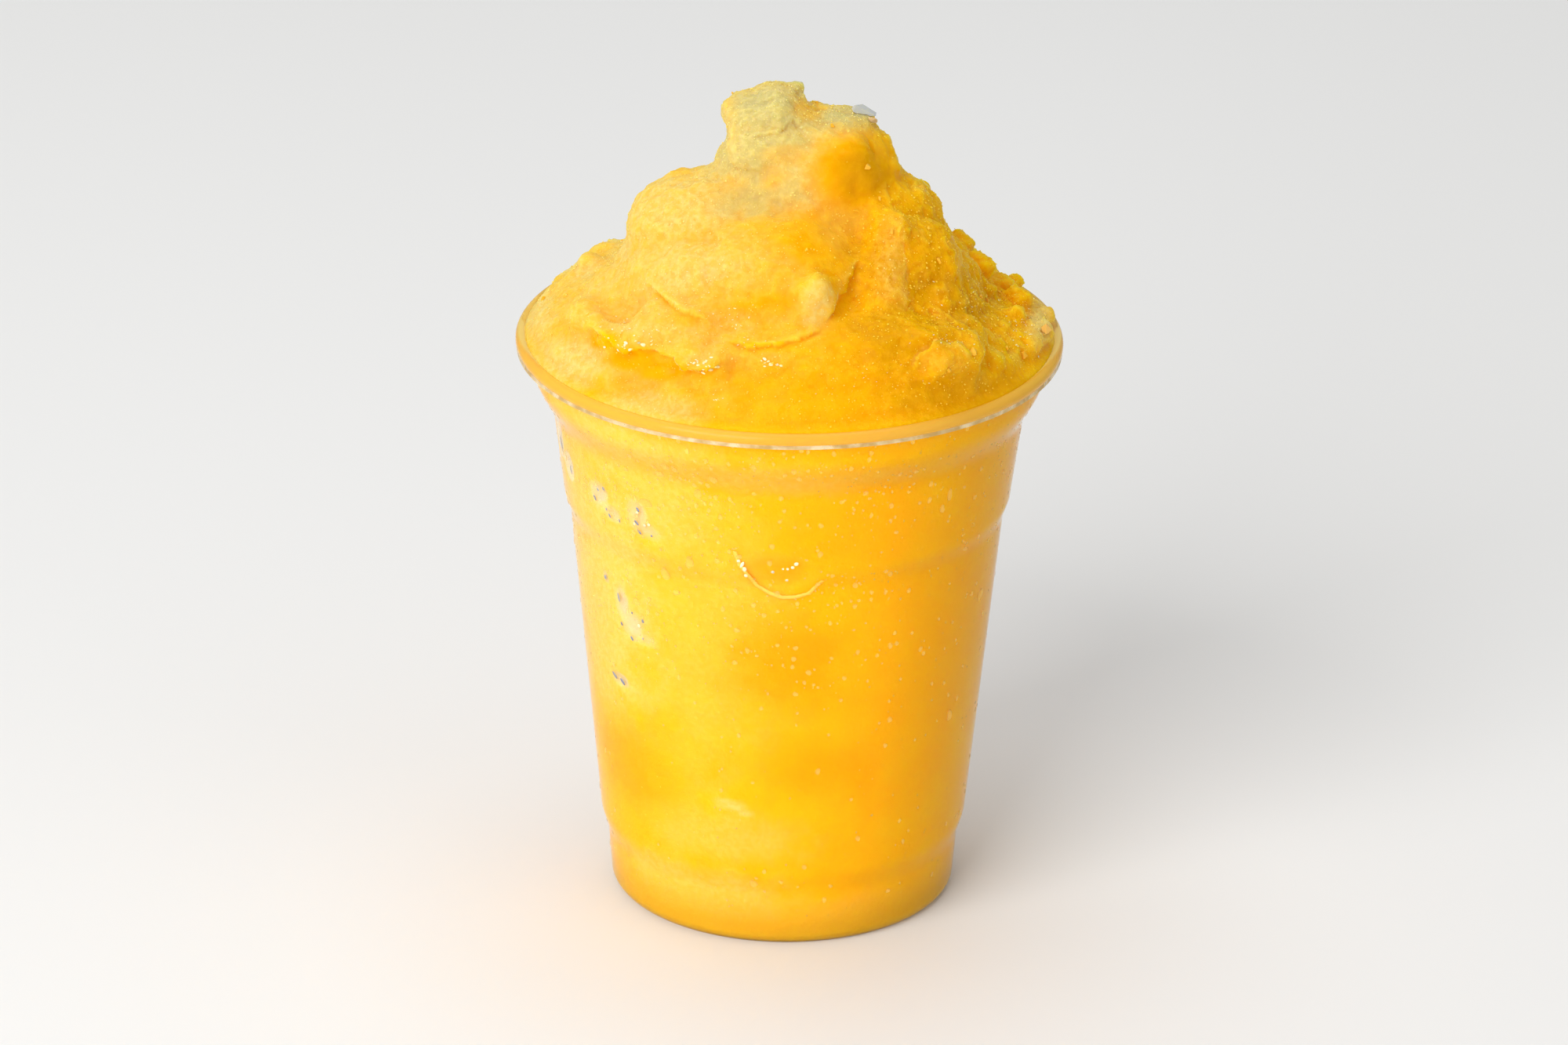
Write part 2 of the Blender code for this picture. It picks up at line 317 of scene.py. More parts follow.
def specksGroup():
    # Small crystals of uneven strength, one in each cell
    tree, start, end = newGroup("iceSpecks", {"Size": 0.9}, ("Mask",))
    scale = addNode(tree, "Math", {0: 1 / mm, 1: start["Size"]}, operation="DIVIDE").outputs[0]
    cells = addNode(tree, "TexVoronoi", {"Vector": placeOn(tree), "Scale": scale}).outputs
    strength = addNode(tree, "SeparateColor", {"Color": cells["Color"]}).outputs["Red"]
    setInputs(tree, end, {"Mask": product(tree, ranged(tree, cells["Distance"], 0.42, 0.16), strength)})
    return tree


iceSpecks = specksGroup()


def mistedMaterial(name, finish):
    # A material with the inputs given, and rougher where the mist on it is thicker
    material, tree, shader = newMaterial(name)
    mist = addNode(tree, "Group", finish["mist"], node_tree=fineMist).outputs
    rough = ranged(tree, mist["Mask"], 0, 1, *finish["roughness"])
    setInputs(tree, shader, {**finish["inputs"], "Roughness": rough})
    return material, tree, shader, mist


# Finish of the clear wall, of its cut edge, and of the rolled rim, which is wet with melted slush
wallFinish = {
    "inputs": {
        "Base Color": (0.985, 0.99, 0.99),
        "Transmission Weight": 1.0,
        "IOR": 1.15,
        "Specular IOR Level": 0.08,
    },
    "mist": {"Size": 1.1, "Patchiness": 0.6},
    "roughness": (0.03, 0.14),
    "bump": {"Strength": 0.25, "Distance": 0.05 * mm},
}
# The cut edge's colours are a painted highlight
cutFinish = {
    "inputs": {"Transmission Weight": 0.4, "IOR": 1.3},
    "creamHighlight": (0.84, 0.75, 0.50),
    "grey": (0.60, 0.44, 0.17),
    "roughness": (0.25, 0.5),
}
rollFinish = {
    "inputs": {
        "Base Color": (0.90, 0.58, 0.08),
        "Transmission Weight": 0.45,
        "IOR": 1.25,
        "Specular IOR Level": 0.3,
    },
    "mist": {"Size": 0.9, "Patchiness": 0.5},
    "roughness": (0.08, 0.2),
}


def wallMaterial():
    material, tree, shader, mist = mistedMaterial("clearCup", wallFinish)
    bump = addNode(tree, "Bump", {**wallFinish["bump"], "Height": mist["Height"]})
    setInputs(tree, shader, {"Normal": bump.outputs["Normal"]})
    letLampsThrough(tree, shader)
    return material


def cutEdgeMaterial():
    # Painted highlight: the bright line of light along the cut edge, cream in places and greyer in others
    material, tree, shader = newMaterial("cutEdge")
    share = ranged(tree, noiseOn(tree, 520, 4), 0.38, 0.62)
    setInputs(tree, shader, {
        **cutFinish["inputs"],
        "Base Color": mixed(tree, cutFinish["creamHighlight"], cutFinish["grey"], share),
        "Roughness": ranged(tree, share, 0, 1, *cutFinish["roughness"]),
    })
    letLampsThrough(tree, shader)
    return material


def wetRollMaterial():
    material, tree, shader, _ = mistedMaterial("wetRoll", rollFinish)
    letLampsThrough(tree, shader)
    return material


def makeCup():
    points, faces = turn(cupOutline(), cupForm["sides"])
    cup = makeMesh("clearCup", points, faces, wallMaterial())
    faceOutwards(cup.data)
    cup.data.set_sharp_from_angle(angle=math.radians(cupForm["sharpAngle"]))
    cup.data.materials.append(cutEdgeMaterial())
    cup.data.materials.append(wetRollMaterial())
    foot, top, cutRadius = cupForm["cutZone"]
    for face in cup.data.polygons:
        radius, height = math.hypot(face.center.x, face.center.y) / mm, face.center.z / mm
        if foot < height < top and radius > cutRadius:
            face.material_index = 1
        elif height > top and radius > cupForm["wetRadius"]:
            face.material_index = 2
    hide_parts("cup")
    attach(cup, "root")


makeCup()
print("cup made")


# Slush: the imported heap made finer, on a turned fill that reaches just into the wall
slushForm = {
    "intoWall": 0.13,
    "seam": 101,
    "grid": 0.47,
    "belowSeam": 3,
    "melt": 9,
    "edgeMelt": 80,
    "keptShare": 0.56,
    "fineSector": (-88, 78),
    "fineStep": 1,
    "coarseStep": 3,
    "fillStep": 0.95,
    "baseStep": 3,
    "skirtLine": ((105.95, 46.83), (106.6, 47), (107, 47.4), (107.25, 47.25), (107.8, 46.7), (108.5, 45.9)),
    "airDepth": 0.9,
}

# Ice that fills the corners between the blocks of the peak: centre and half sizes
cornerIce = {
    "notch": ((1.8, -4, 146), (4.2, 4.2, 3.8)),
    "blockFront": ((-4.5, -8, 144.8), (7.5, 4.6, 4.6)),
    "secondFront": ((8, -7, 143.2), (6.5, 4.4, 4.4)),
    "neckLeft": ((-9.9, 1, 139.6), (3.7, 4.6, 3.4)),
    "neckRight": ((13, 0, 142.2), (4.6, 5, 4.6)),
}

# Blocks of ice that make the steps in the outline: centre, half sizes and turn in degrees
edgeBlocks = {
    "peak": ((-0.8, 2, 150.4), (2.6, 3.6, 2.4), -4),
    "flankTop": ((30.2, 6.5, 122.3), (1.5, 2.2, 1.7), 38),
    "flankUpper": ((34, 2.5, 119.4), (1.7, 2.2, 1.7), 26),
    "flankMiddle": ((37.5, 8, 113.7), (1.8, 2.2, 1.6), 10),
    "flankLower": ((41, 2, 113.3), (1.7, 2.2, 1.6), 20),
    "flankFoot": ((44.3, 6, 109.2), (1.6, 2.2, 1.5), 36),
}

# Blocks strewn over the rough flank and the back: how many, and their half sizes
strewnBlocks = {
    "count": 70,
    "size": (0.7, 1.7),
    "heights": (110, 144),
    "seed": 14,
}

# Places where the heap is cut back: across, up, half sizes, depth
cutBack = {
    "flank": (40, 117, 8, 8, 1.3),
    "secondTop": (6.4, 152.4, 3.6, 2.6, 1.2),
}

# Relief of the ice in the heap: size, depth and seed
iceRelief = {
    "lumps": (7, 0.35, 3.1),
    "grain": (2.2, 0.3, 7.7),
    "fineGrain": (1.1, 0.16, 1.3),
    "chips": (3.2, 0.42, 2.9),
    "crystals": (1.5, 0.22, 6.1),
}

# Broken edges of the heap as seen from the front: points across and up, then for the left and the
# right of the way they run: how much it rises, how wide, how pale or how soaked it is, and how wide
brokenEdges = {
    "jag": (((6.4, 108.6), (8.6, 113.4), (10, 117), (12.8, 121.8)),
            (0.5, 2.6, 0.25, 2), (-0.45, 3, 1, 5.5)),
    "tongueRight": (((20.9, 110.5), (20.9, 119), (19.7, 131.5)),
                    (0.1, 2, 0.3, 3.5), (-0.2, 4, 0.6, 7)),
    "underTongue": (((24.5, 112), (29, 109.6), (33, 108.6)),
                    (0.2, 2, 0.2, 1.5), (-0.3, 2, 0.8, 3)),
    "crack": (((-25, 115.6), (-19.8, 110.9), (-14.6, 108.9)),
              (0.4, 2.4, 0.3, 2), (-0.5, 2.6, 0.8, 2)),
    "shelf": (((-12.5, 105.2), (-4.7, 104.7), (2, 105.6), (5.6, 108.8)),
              (0.4, 2.4, 0.3, 1.6), (-0.5, 2.2, 0.8, 1.6)),
    "ridge": (((-37.6, 109.2), (-33.9, 105.9), (-30, 103.2), (-25.4, 103.4), (-20.7, 101.8), (-19.4, 99.6),
               (-13.4, 99.6), (-10, 100.6)),
              (0.4, 2.2, 0.2, 1.4), (-0.6, 4.5, 0.8, 2.6)),
    "flake": (((-8.4, 143.6), (-3, 145.6), (1.2, 146.8), (2.6, 144.6)),
              (0.3, 1, 0.6, 1), (-0.2, 1.6, 0, 1)),
    "chunkTop": (((33.6, 101.8), (30.5, 105.2), (26, 106), (22.6, 103.2), (21.4, 100.2)),
                 (0.4, 2.6, 0.3, 1.8), (-0.4, 2.2, 0.7, 2)),
}

# Places on the heap where syrup soaks the ice, as seen from the front: across, up, half sizes, strength
syrupOnHeap = {
    "middle": (3.6, 124.1, 13, 6, 1),
    "recess": (-6, 112.7, 10, 3.2, 1),
    "shelf": (-6, 104.2, 12, 1.6, 0.9),
    "crack": (-18, 109.4, 5, 1.6, 0.8),
    "besideEgg": (11, 112.4, 4, 6.5, 1),
    "underTongue": (18, 106.5, 14, 5.5, 0.85),
    "rightHollow": (25.5, 113.6, 4, 6, 0.9),
    "poolTail": (-14.5, 98.2, 4.6, 1.2, 0.8),
    "frontSkirt": (2, 95.5, 20, 5, 0.7),
    "rightSkirt": (30, 96, 16, 6, 0.8),
    "rightFlank": (29, 118, 9, 10, 0.6),
}

# Wide pale parts of the heap, under the syrup
paleParts = {
    "leftHalf": (-24, 120, 30, 28, 0.65),
    "leftShoulder": (-20, 132, 18, 11, 0.9),
    "peak": (-3, 145, 17, 15, 1),
}

# Places on the heap where the ice is dry and pale
paleOnHeap = {
    "peak": (-3, 150, 14, 8.5, 1),
    "neck": (-9, 139.5, 10, 8, 1),
    "belowFlake": (0.5, 134, 7, 5, 0.85),
    "leftShoulder": (-23, 130, 14, 9, 0.9),
    "leftMass": (-18, 119.5, 15, 9, 0.9),
    "face": (-10, 122, 9, 6, 0.5),
    "egg": (4.6, 113, 3.2, 5.6, 1),
    "tongue": (17.6, 121, 3, 8.5, 0.5),
    "chunk": (27.6, 101.6, 5.6, 3.8, 0.15),
    "leftSkirt": (-38, 101.5, 10, 7, 1),
    "ridge": (-28, 107.4, 8, 3, 0.75),
    "ridgeEnd": (-16, 101.8, 4.4, 2.2, 0.7),
    "lowerMass": (-15, 105, 8, 5, 0.5),
    "leftLedge": (-33, 115, 7, 4, 0.7),
    "leftBrim": (-38, 119, 6.5, 5.5, 0.95),
    "shoulderEdge": (-29.5, 124, 5, 9, 0.9),
    "shoulderTop": (-21, 135, 7, 4, 0.95),
    "massTop": (-7, 132, 10, 4.4, 0.9),
    "farLeft": (-45.5, 110.5, 4.5, 8, 0.95),
    "neckLeft": (-14, 136.5, 9.5, 5, 0.85),
    "leftFrontSkirt": (-26, 91.5, 13, 4.4, 0.85),
    "rightRim": (44.5, 110, 2.6, 5, 0.6),
}

# The driest ice, greyer than the rest
dryOnHeap = {
    "peak": (-4.5, 149.6, 9.5, 7.2, 0.95),
    "secondBlock": (9.6, 148, 6.6, 3.8, 0.95),
    "neck": (-6, 141, 9.5, 8, 0.85),
    "belowFlake": (0, 134.8, 5.5, 3.6, 0.6),
    "massTop": (-7, 132.6, 9.5, 4.4, 0.6),
    "massRight": (8.6, 128.6, 6, 6.4, 0.16),
    "rightRim": (45, 110, 2.6, 5, 0.6),
}

# Yellow places with crisper edges: the pool under the ridge, and between the pale blocks of the peak
yellowOnHeap = {
    "poolTop": (-33, 104.8, 3, 2.2, 1),
    "pool": (-28, 101.5, 5.6, 2.8, 1),
    "poolEnd": (-22.5, 99.2, 5.4, 2.2, 1),
    "belowPeak": (11.2, 138.1, 8.8, 7.9, 1),
    "betweenBlocks": (2.6, 149.6, 3.2, 2.4, 0.55),
    "underFlake": (-1, 140.5, 5, 2.2, 0.45),
    "neckStreak": (-3.5, 137, 2.4, 3, 0.4),
}

# Painted shade: places on the heap that lie in shade, coloured as darker copies of the body
paintedShadeOnHeap = {
    "belowPeak": (12.4, 138.2, 7.4, 6.6, 0.85),
    "besideTongue": (24.6, 119, 4, 10, 0.9),
    "tongue": (15.5, 121, 6, 11, 0.9),
    "tongueFoot": (17, 109, 8, 5, 1),
    "underTongue": (20, 104.5, 13, 6.5, 0.95),
    "right": (25, 126, 8, 10, 0.6),
    "rightFlank": (32, 113, 11, 9, 0.75),
    "aboveChunk": (27, 108, 9, 3.6, 0.9),
    "rightSkirt": (32, 95, 18, 7, 0.75),
}

# Places where the edges of the ice have melted soft
meltedOnHeap = {
    "tongueEdge": (21, 117, 3.6, 12, 1),
    "tongueLeft": (14.5, 120, 3, 8, 0.6),
    "blockFoot": (-7, 144.6, 9, 5, 1),
    "blockSide": (2.6, 148.4, 4.5, 6, 1),
    "leftBrim": (-26, 115, 7, 5, 0.7),
    "belowPatch": (8, 127.5, 6.5, 5, 1),
    "egg": (5, 112.5, 5, 7, 0.5),
}

# Places behind the wall: degrees from the front, height, half sizes, strength
syrupInCup = {
    "lowLeft": (-56, 31, 13, 9.5, 1),
    "lowLeftTail": (-40, 41, 6, 5, 0.3),
    "middle": (-0.2, 58.2, 13, 11, 1),
    "lowRight": (11.6, 36.4, 13, 8, 0.8),
    "crescent": (-1.5, 77.2, 7, 3.6, 0.9),
    "right": (45, 55, 14, 40, 0.4),
    "rightTop": (26, 86, 16, 10, 0.4),
    "back": (150, 60, 14, 11, 0.8),
    "backLow": (-140, 28, 10, 8, 0.9),
}
paleInCup = {
    "left": (-62, 70, 22, 34, 0.75),
    "neckLeft": (-42, 99.5, 24, 5, 0.65),
    "leftTop": (-36, 88, 14, 12, 0.55),
    "lowMiddle": (-20, 22, 16, 6, 0.35),
    # painted light: the foot on the left made paler where little light reaches it
    "footLeftLight": (-30, 9, 22, 7, 0.45),
    "footFront": (10, 6, 22, 4, 0.15),
    # painted light: a band under the neck made paler where the slush faces down and gets less light
    "neckLightBand": (-16, 96.2, 34, 3.6, 0.35),
    "middleLeft": (-26, 66, 18, 34, 0.28),
    "flake": (-16.5, 29, 3.4, 1.1, 0.9),
    "flakeEnd": (-11.3, 27.6, 1.6, 0.9, 0.8),
    "backLeft": (-150, 80, 20, 16, 0.5),
    "backRight": (120, 30, 18, 14, 0.45),
}

# Places where the slush has drawn back from the wall and leaves air
airInCup = {
    "edgeTop": (-77.5, 90.5, 2.2, 4.4, 1),
    "edgeLow": (-71.5, 86, 2.4, 2.6, 1),
    "leftTop": (-54.8, 85.2, 2.8, 2.4, 0.7),
    "leftLow": (-50, 82.2, 2.6, 1.7, 0.55),
    "rightTop": (-40.4, 84, 2.6, 3.6, 0.5),
    "rightLow": (-37.5, 81.4, 3, 1.7, 0.5),
    "lowTop": (-50.4, 64, 1.8, 3.2, 0.65),
    "lowMiddle": (-47, 60.5, 2.8, 3, 0.55),
    "lowEnd": (-42, 58.6, 2.8, 1.5, 0.4),
    "small": (-54.5, 47.8, 2.6, 1.2, 0.7),
    "speck": (-57.5, 67.6, 0.9, 0.9, 0.8),
    "back": (172, 71, 2.8, 3.4, 0.8),
    "backLow": (-118, 52, 2.2, 2.6, 0.7),
}


def fillOutline():
    c = cupForm
    side = insideOf(wallOutline(), c["wall"] - slushForm["intoWall"])
    side[-1] = (0.0, c["baseRise"] + c["wall"] - slushForm["intoWall"])
    return side


def spreadAlong(line, step):
    # The same line with points about one step apart
    line = np.array(line)
    lengths = np.linalg.norm(np.diff(line, axis=0), axis=1)
    along = np.concatenate([[0.0], np.cumsum(lengths)])
    at = np.linspace(0, along[-1], int(along[-1] / step) + 1)
    return np.stack([np.interp(at, along, line[:, 0]), np.interp(at, along, line[:, 1])], axis=1)


def asSeen(points):
    # Where each point shows on the upright plane through the axis, from the front
    reach = eye[1] / (eye[1] - points[:, 1])
    across = eye[0] + (points[:, 0] - eye[0]) * reach
    up = eye[2] + (points[:, 2] - eye[2]) * reach
    return across, up


def facingFront(points, normals):
    toEye = eye - points
    toEye /= np.linalg.norm(toEye, axis=1)[:, None]
    return ease(-0.05, 0.2, (normals * toEye).sum(axis=1))


def fromFront(points):
    return np.degrees(np.arctan2(points[:, 0], -points[:, 1]))


def withModifiers(ob):
    # The mesh that the object's modifiers make; the object itself goes
    mesh = bpy.data.meshes.new_from_object(ob.evaluated_get(bpy.context.evaluated_depsgraph_get()))
    bpy.data.objects.remove(ob)
    return mesh


def cutBelow(bm, height):
    # Cuts away what is below this height, and gives the edges left open there
    cut = bmesh.ops.bisect_plane(bm, geom=bm.verts[:] + bm.edges[:] + bm.faces[:],
                                 plane_co=(0, 0, height * mm), plane_no=(0, 0, 1), clear_inner=True)
    return [e for e in cut["geom_cut"] if isinstance(e, bmesh.types.BMEdge)]


def fineHeap():
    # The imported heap, cut off below the seam, remeshed and melted a little
    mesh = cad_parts["slush"].data.copy()
    bm = bmesh.new()
    bm.from_mesh(mesh)
    bmesh.ops.remove_doubles(bm, verts=bm.verts, dist=0.002 * mm)
    bmesh.ops.holes_fill(bm, edges=cutBelow(bm, slushForm["seam"] - slushForm["belowSeam"]))
    points = np.array([v.co for v in bm.verts]) / mm
    across, up = asSeen(points)
    depth = softSpots(across, up, cutBack, np.zeros(len(points)))
    bm.normal_update()
    for vertex, amount in zip(bm.verts, depth):
        vertex.co -= vertex.normal * float(amount) * mm
    for centre, half in cornerIce.values():
        shape = Matrix.Translation(Vector(centre) * mm) @ Matrix.Diagonal((*half, 1.0))
        bmesh.ops.create_icosphere(bm, subdivisions=3, radius=mm, matrix=shape)
    blocks = list(edgeBlocks.values())
    draw = np.random.default_rng(strewnBlocks["seed"])
    low, high = strewnBlocks["heights"]
    rough = np.flatnonzero((roughShare(points) > 0.6) & (points[:, 2] > low) & (points[:, 2] < high))
    for i in draw.choice(rough, strewnBlocks["count"], replace=False):
        half = draw.uniform(*strewnBlocks["size"]) * draw.uniform(0.7, 1.2, 3)
        blocks.append((points[i] * 0.99, half, draw.uniform(0, 90)))
    for centre, half, turnBy in blocks:
        shape = Matrix.Translation(Vector(centre) * mm) @ turnedBy(turnBy, "Y") @ turnedBy(1.5 * turnBy, "Z")
        bmesh.ops.create_cube(bm, size=2 * mm, matrix=shape @ Matrix.Diagonal((*half, 1.0)))
    bm.to_mesh(mesh)
    bm.free()
    heap = addObject("heap", mesh)
    finer = heap.modifiers.new("finer", "REMESH")
    finer.mode = "VOXEL"
    finer.voxel_size = slushForm["grid"] * mm
    melt = heap.modifiers.new("melt", "SMOOTH")
    melt.factor = 0.5
    melt.iterations = slushForm["melt"]
    return withModifiers(heap)


def thinHeap(mesh):
    # Fewer triangles where the ice is flattest, so that the slush has under 200,000
    heap = addObject("heap", mesh)
    fewer = heap.modifiers.new("fewer", "DECIMATE")
    fewer.ratio = slushForm["keptShare"]
    return withModifiers(heap)


def readPoints(mesh):
    points = np.empty(len(mesh.vertices) * 3)
    mesh.vertices.foreach_get("co", points)
    return points.reshape(-1, 3) / mm


def readNormals(mesh):
    normals = np.empty(len(mesh.vertices) * 3)
    mesh.vertices.foreach_get("normal", normals)
    return normals.reshape(-1, 3)


def writePoints(mesh, points):
    mesh.vertices.foreach_set("co", (points * mm).ravel())
    mesh.update()


def wallReach(heights):
    # Radius of the fill at each height, up to where the skirt bulges inside the rolled rim
    side = np.array([p for p in fillOutline() if p[1] < 105.5][:-4])[::-1]
    skirt = np.array(slushForm["skirtLine"])
    line = np.concatenate([side[:, ::-1], skirt])
    return np.interp(heights, line[:, 0], line[:, 1])


def snapToWall(points):
    radius = np.hypot(points[:, 0], points[:, 1])
    target = wallReach(points[:, 2])
    weight = ease(target - 3.0, target - 1.5, radius) * (1 - ease(107.3, 109.2, points[:, 2]))
    weight = np.where(radius > target, 1 - ease(107.8, 109.5, points[:, 2]), weight)
    points[:, :2] *= (1 + weight * (target / np.maximum(radius, 1) - 1))[:, None]
    return points


def brokenIce(points, size, seed):
    # Flat chips that lie at different heights and tilts, with steps between them
    shift = Vector((seed, seed * 1.3, seed * 0.7))
    lift = np.empty(len(points))
    for i, p in enumerate(points):
        spot = Vector(p) / size + shift
        centre = noise.voronoi(spot)[1][0]
        tilt = noise.noise_vector(centre * 7.31)
        lift[i] = noise.noise(centre * 5.17) * 1.2 + 1.1 * tilt.dot(spot - centre)
    return np.clip(lift, -1, 1)


def besideEdge(across, up, path):
    # Distance to a broken edge, which side of it each place is on, and a fade towards its ends
    nearest = np.full(len(across), 1e9)
    side = np.zeros(len(across))
    along = np.zeros(len(across))
    count = len(path) - 1
    for i in range(count):
        (x0, y0), (x1, y1) = path[i], path[i + 1]
        length = math.hypot(x1 - x0, y1 - y0)
        dx, dy = (x1 - x0) / length, (y1 - y0) / length
        t = np.clip((across - x0) * dx + (up - y0) * dy, 0, length)
        distance = np.hypot(across - x0 - t * dx, up - y0 - t * dy)
        closer = distance < nearest
        nearest = np.where(closer, distance, nearest)
        side = np.where(closer, np.sign(dx * (up - y0) - dy * (across - x0)), side)
        along = np.where(closer, (i + t / length) / count, along)
    return nearest, side > 0, ease(0, 0.15, along) * (1 - ease(0.85, 1.0, along))


def edgeLift(across, up, edge):
    path, left, right = edge
    nearest, isLeft, fade = besideEdge(across, up, path)
    onLeft = left[0] * (1 - ease(0, left[1], nearest))
    onRight = right[0] * (1 - ease(0, right[1], nearest))
    return np.where(isLeft, onLeft, onRight) * fade


def shadeEdges(across, up, syrup, pale):
    # Crisp changes of colour along the broken edges
    for path, left, right in brokenEdges.values():
        nearest, isLeft, fade = besideEdge(across, up, path)
        paler = isLeft * fade * (1 - ease(0, left[3], nearest))
        deeper = ~isLeft * fade * (1 - ease(0, right[3], nearest))
        pale = np.maximum(pale * (1 - deeper * right[2]), paler * left[2])
        syrup = np.maximum(syrup * (1 - paler * left[2]), deeper * right[2])
    return syrup, pale


def roughShare(points):
    # 1 on the rough flank to the right and the back, less on the smooth skirt and the left
    azimuth = fromFront(points)
    return np.clip(ease(20, 65, azimuth) + ease(-80, -140, azimuth), 0, 1)


def meltPlaces(mesh, points, weight):
    # Draws each point towards the middle of its neighbours, as far as its weight says
    pairs = np.empty(len(mesh.edges) * 2, dtype=np.int32)
    mesh.edges.foreach_get("vertices", pairs)
    first, second = pairs[0::2], pairs[1::2]
    count = len(points)
    neighbours = np.bincount(first, minlength=count) + np.bincount(second, minlength=count)
    for i in range(slushForm["edgeMelt"]):
        for axis in range(3):
            total = np.bincount(first, points[second, axis], count)
            total += np.bincount(second, points[first, axis], count)
            points[:, axis] += (total / neighbours - points[:, axis]) * weight
    return points


def roughenHeap(mesh):
    points = readPoints(mesh)
    across, up = asSeen(points)
    front = facingFront(points, readNormals(mesh))
    melted = softSpots(across, up, meltedOnHeap, 0.2 * noiseAt(points, 4.0, 8.1))
    writePoints(mesh, meltPlaces(mesh, points, 0.8 * melted * front))
    normals = readNormals(mesh)
    across, up = asSeen(points)
    wobble = noiseAt(points, 2.2, 5.5) * 0.7 + noiseAt(points, 5.5, 2.5) * 1.2
    broken = sum(edgeLift(across + wobble, up - wobble, edge) for edge in brokenEdges.values())
    points += normals * (broken * front)[:, None]
    rough = np.maximum(roughShare(points), 0.5 * ease(143, 148, points[:, 2]))
    high = ease(107.5, 111.0, points[:, 2])
    skirt = 1 - ease(110.0, 117.0, points[:, 2])
    smoothPatch = np.exp(-((across - 10.5) / 8.0) ** 2 - ((up - 137.5) / 7.0) ** 2) * front
    calm = (1 - 0.7 * skirt * (1 - rough)) * (1 - 0.75 * smoothPatch)
    lift = np.zeros(len(points))
    for name in ("lumps", "grain", "fineGrain"):
        size, depth, seed = iceRelief[name]
        lift += depth * noiseAt(points, size, seed)
    for name, share in (("chips", rough), ("crystals", 0.35 + 0.65 * rough)):
        size, depth, seed = iceRelief[name]
        lift += depth * brokenIce(points, size, seed) * share
    points += normals * (lift * calm * high)[:, None]
    points[:, 2] = np.minimum(points[:, 2], cadBox[1][2] / mm - 0.02)
    return snapToWall(points)


def cutAtSeam(mesh):
    # Opens the heap at the seam and gives its points, faces and the ring of points there
    bm = bmesh.new()
    bm.from_mesh(mesh)
    cutBelow(bm, slushForm["seam"])
    bm.verts.index_update()
    points = [tuple(v.co / mm) for v in bm.verts]
    faces = [tuple(v.index for v in f.verts) for f in bm.faces]
    ring = [v.index for v in bm.verts if any(e.is_boundary for e in v.link_edges)]
    bm.free()
    return points, faces, ring


def sew(points, upper, lower):
    # Joins two rings of points that have different counts
    def byAngle(ring):
        return sorted((math.atan2(points[i][1], points[i][0]), i) for i in ring)
    top, low = byAngle(upper), byAngle(lower)
    faces, i, j = [], 0, 0
    while i < len(top) or j < len(low):
        nextTop = top[(i + 1) % len(top)][0] + (2 * math.pi if i + 1 >= len(top) else 0)
        nextLow = low[(j + 1) % len(low)][0] + (2 * math.pi if j + 1 >= len(low) else 0)
        a, b = top[i % len(top)][1], low[j % len(low)][1]
        if j >= len(low) or (i < len(top) and nextTop <= nextLow):
            faces.append((a, b, top[(i + 1) % len(top)][1]))
            i += 1
        else:
            faces.append((a, b, low[(j + 1) % len(low)][1]))
            j += 1
    return faces


def softSpots(across, up, spots, wobble, fade=(0.15, 1.35)):
    # Soft elliptical spots with uneven edges
    total = np.zeros(len(across))
    for x, y, halfWidth, halfHeight, strength in spots.values():
        distance = np.hypot((across - x) / halfWidth, (up - y) / halfHeight) + wobble
        total = np.maximum(total, strength * (1 - ease(*fade, distance)))
    return total


def spotsOnWall(points, spots, wobble):
    # The same, with places given in degrees round the wall and sizes in mm along it
    azimuth = fromFront(points)
    radius = np.maximum(np.hypot(points[:, 0], points[:, 1]), 20)
    total = np.zeros(len(points))
    for angle, height, halfWidth, halfHeight, strength in spots.values():
        off = np.radians((azimuth - angle + 180) % 360 - 180) * radius
        distance = np.hypot(off / halfWidth, (points[:, 2] - height) / halfHeight) + wobble
        total = np.maximum(total, strength * (1 - ease(0.3, 1.3, distance)))
    return total


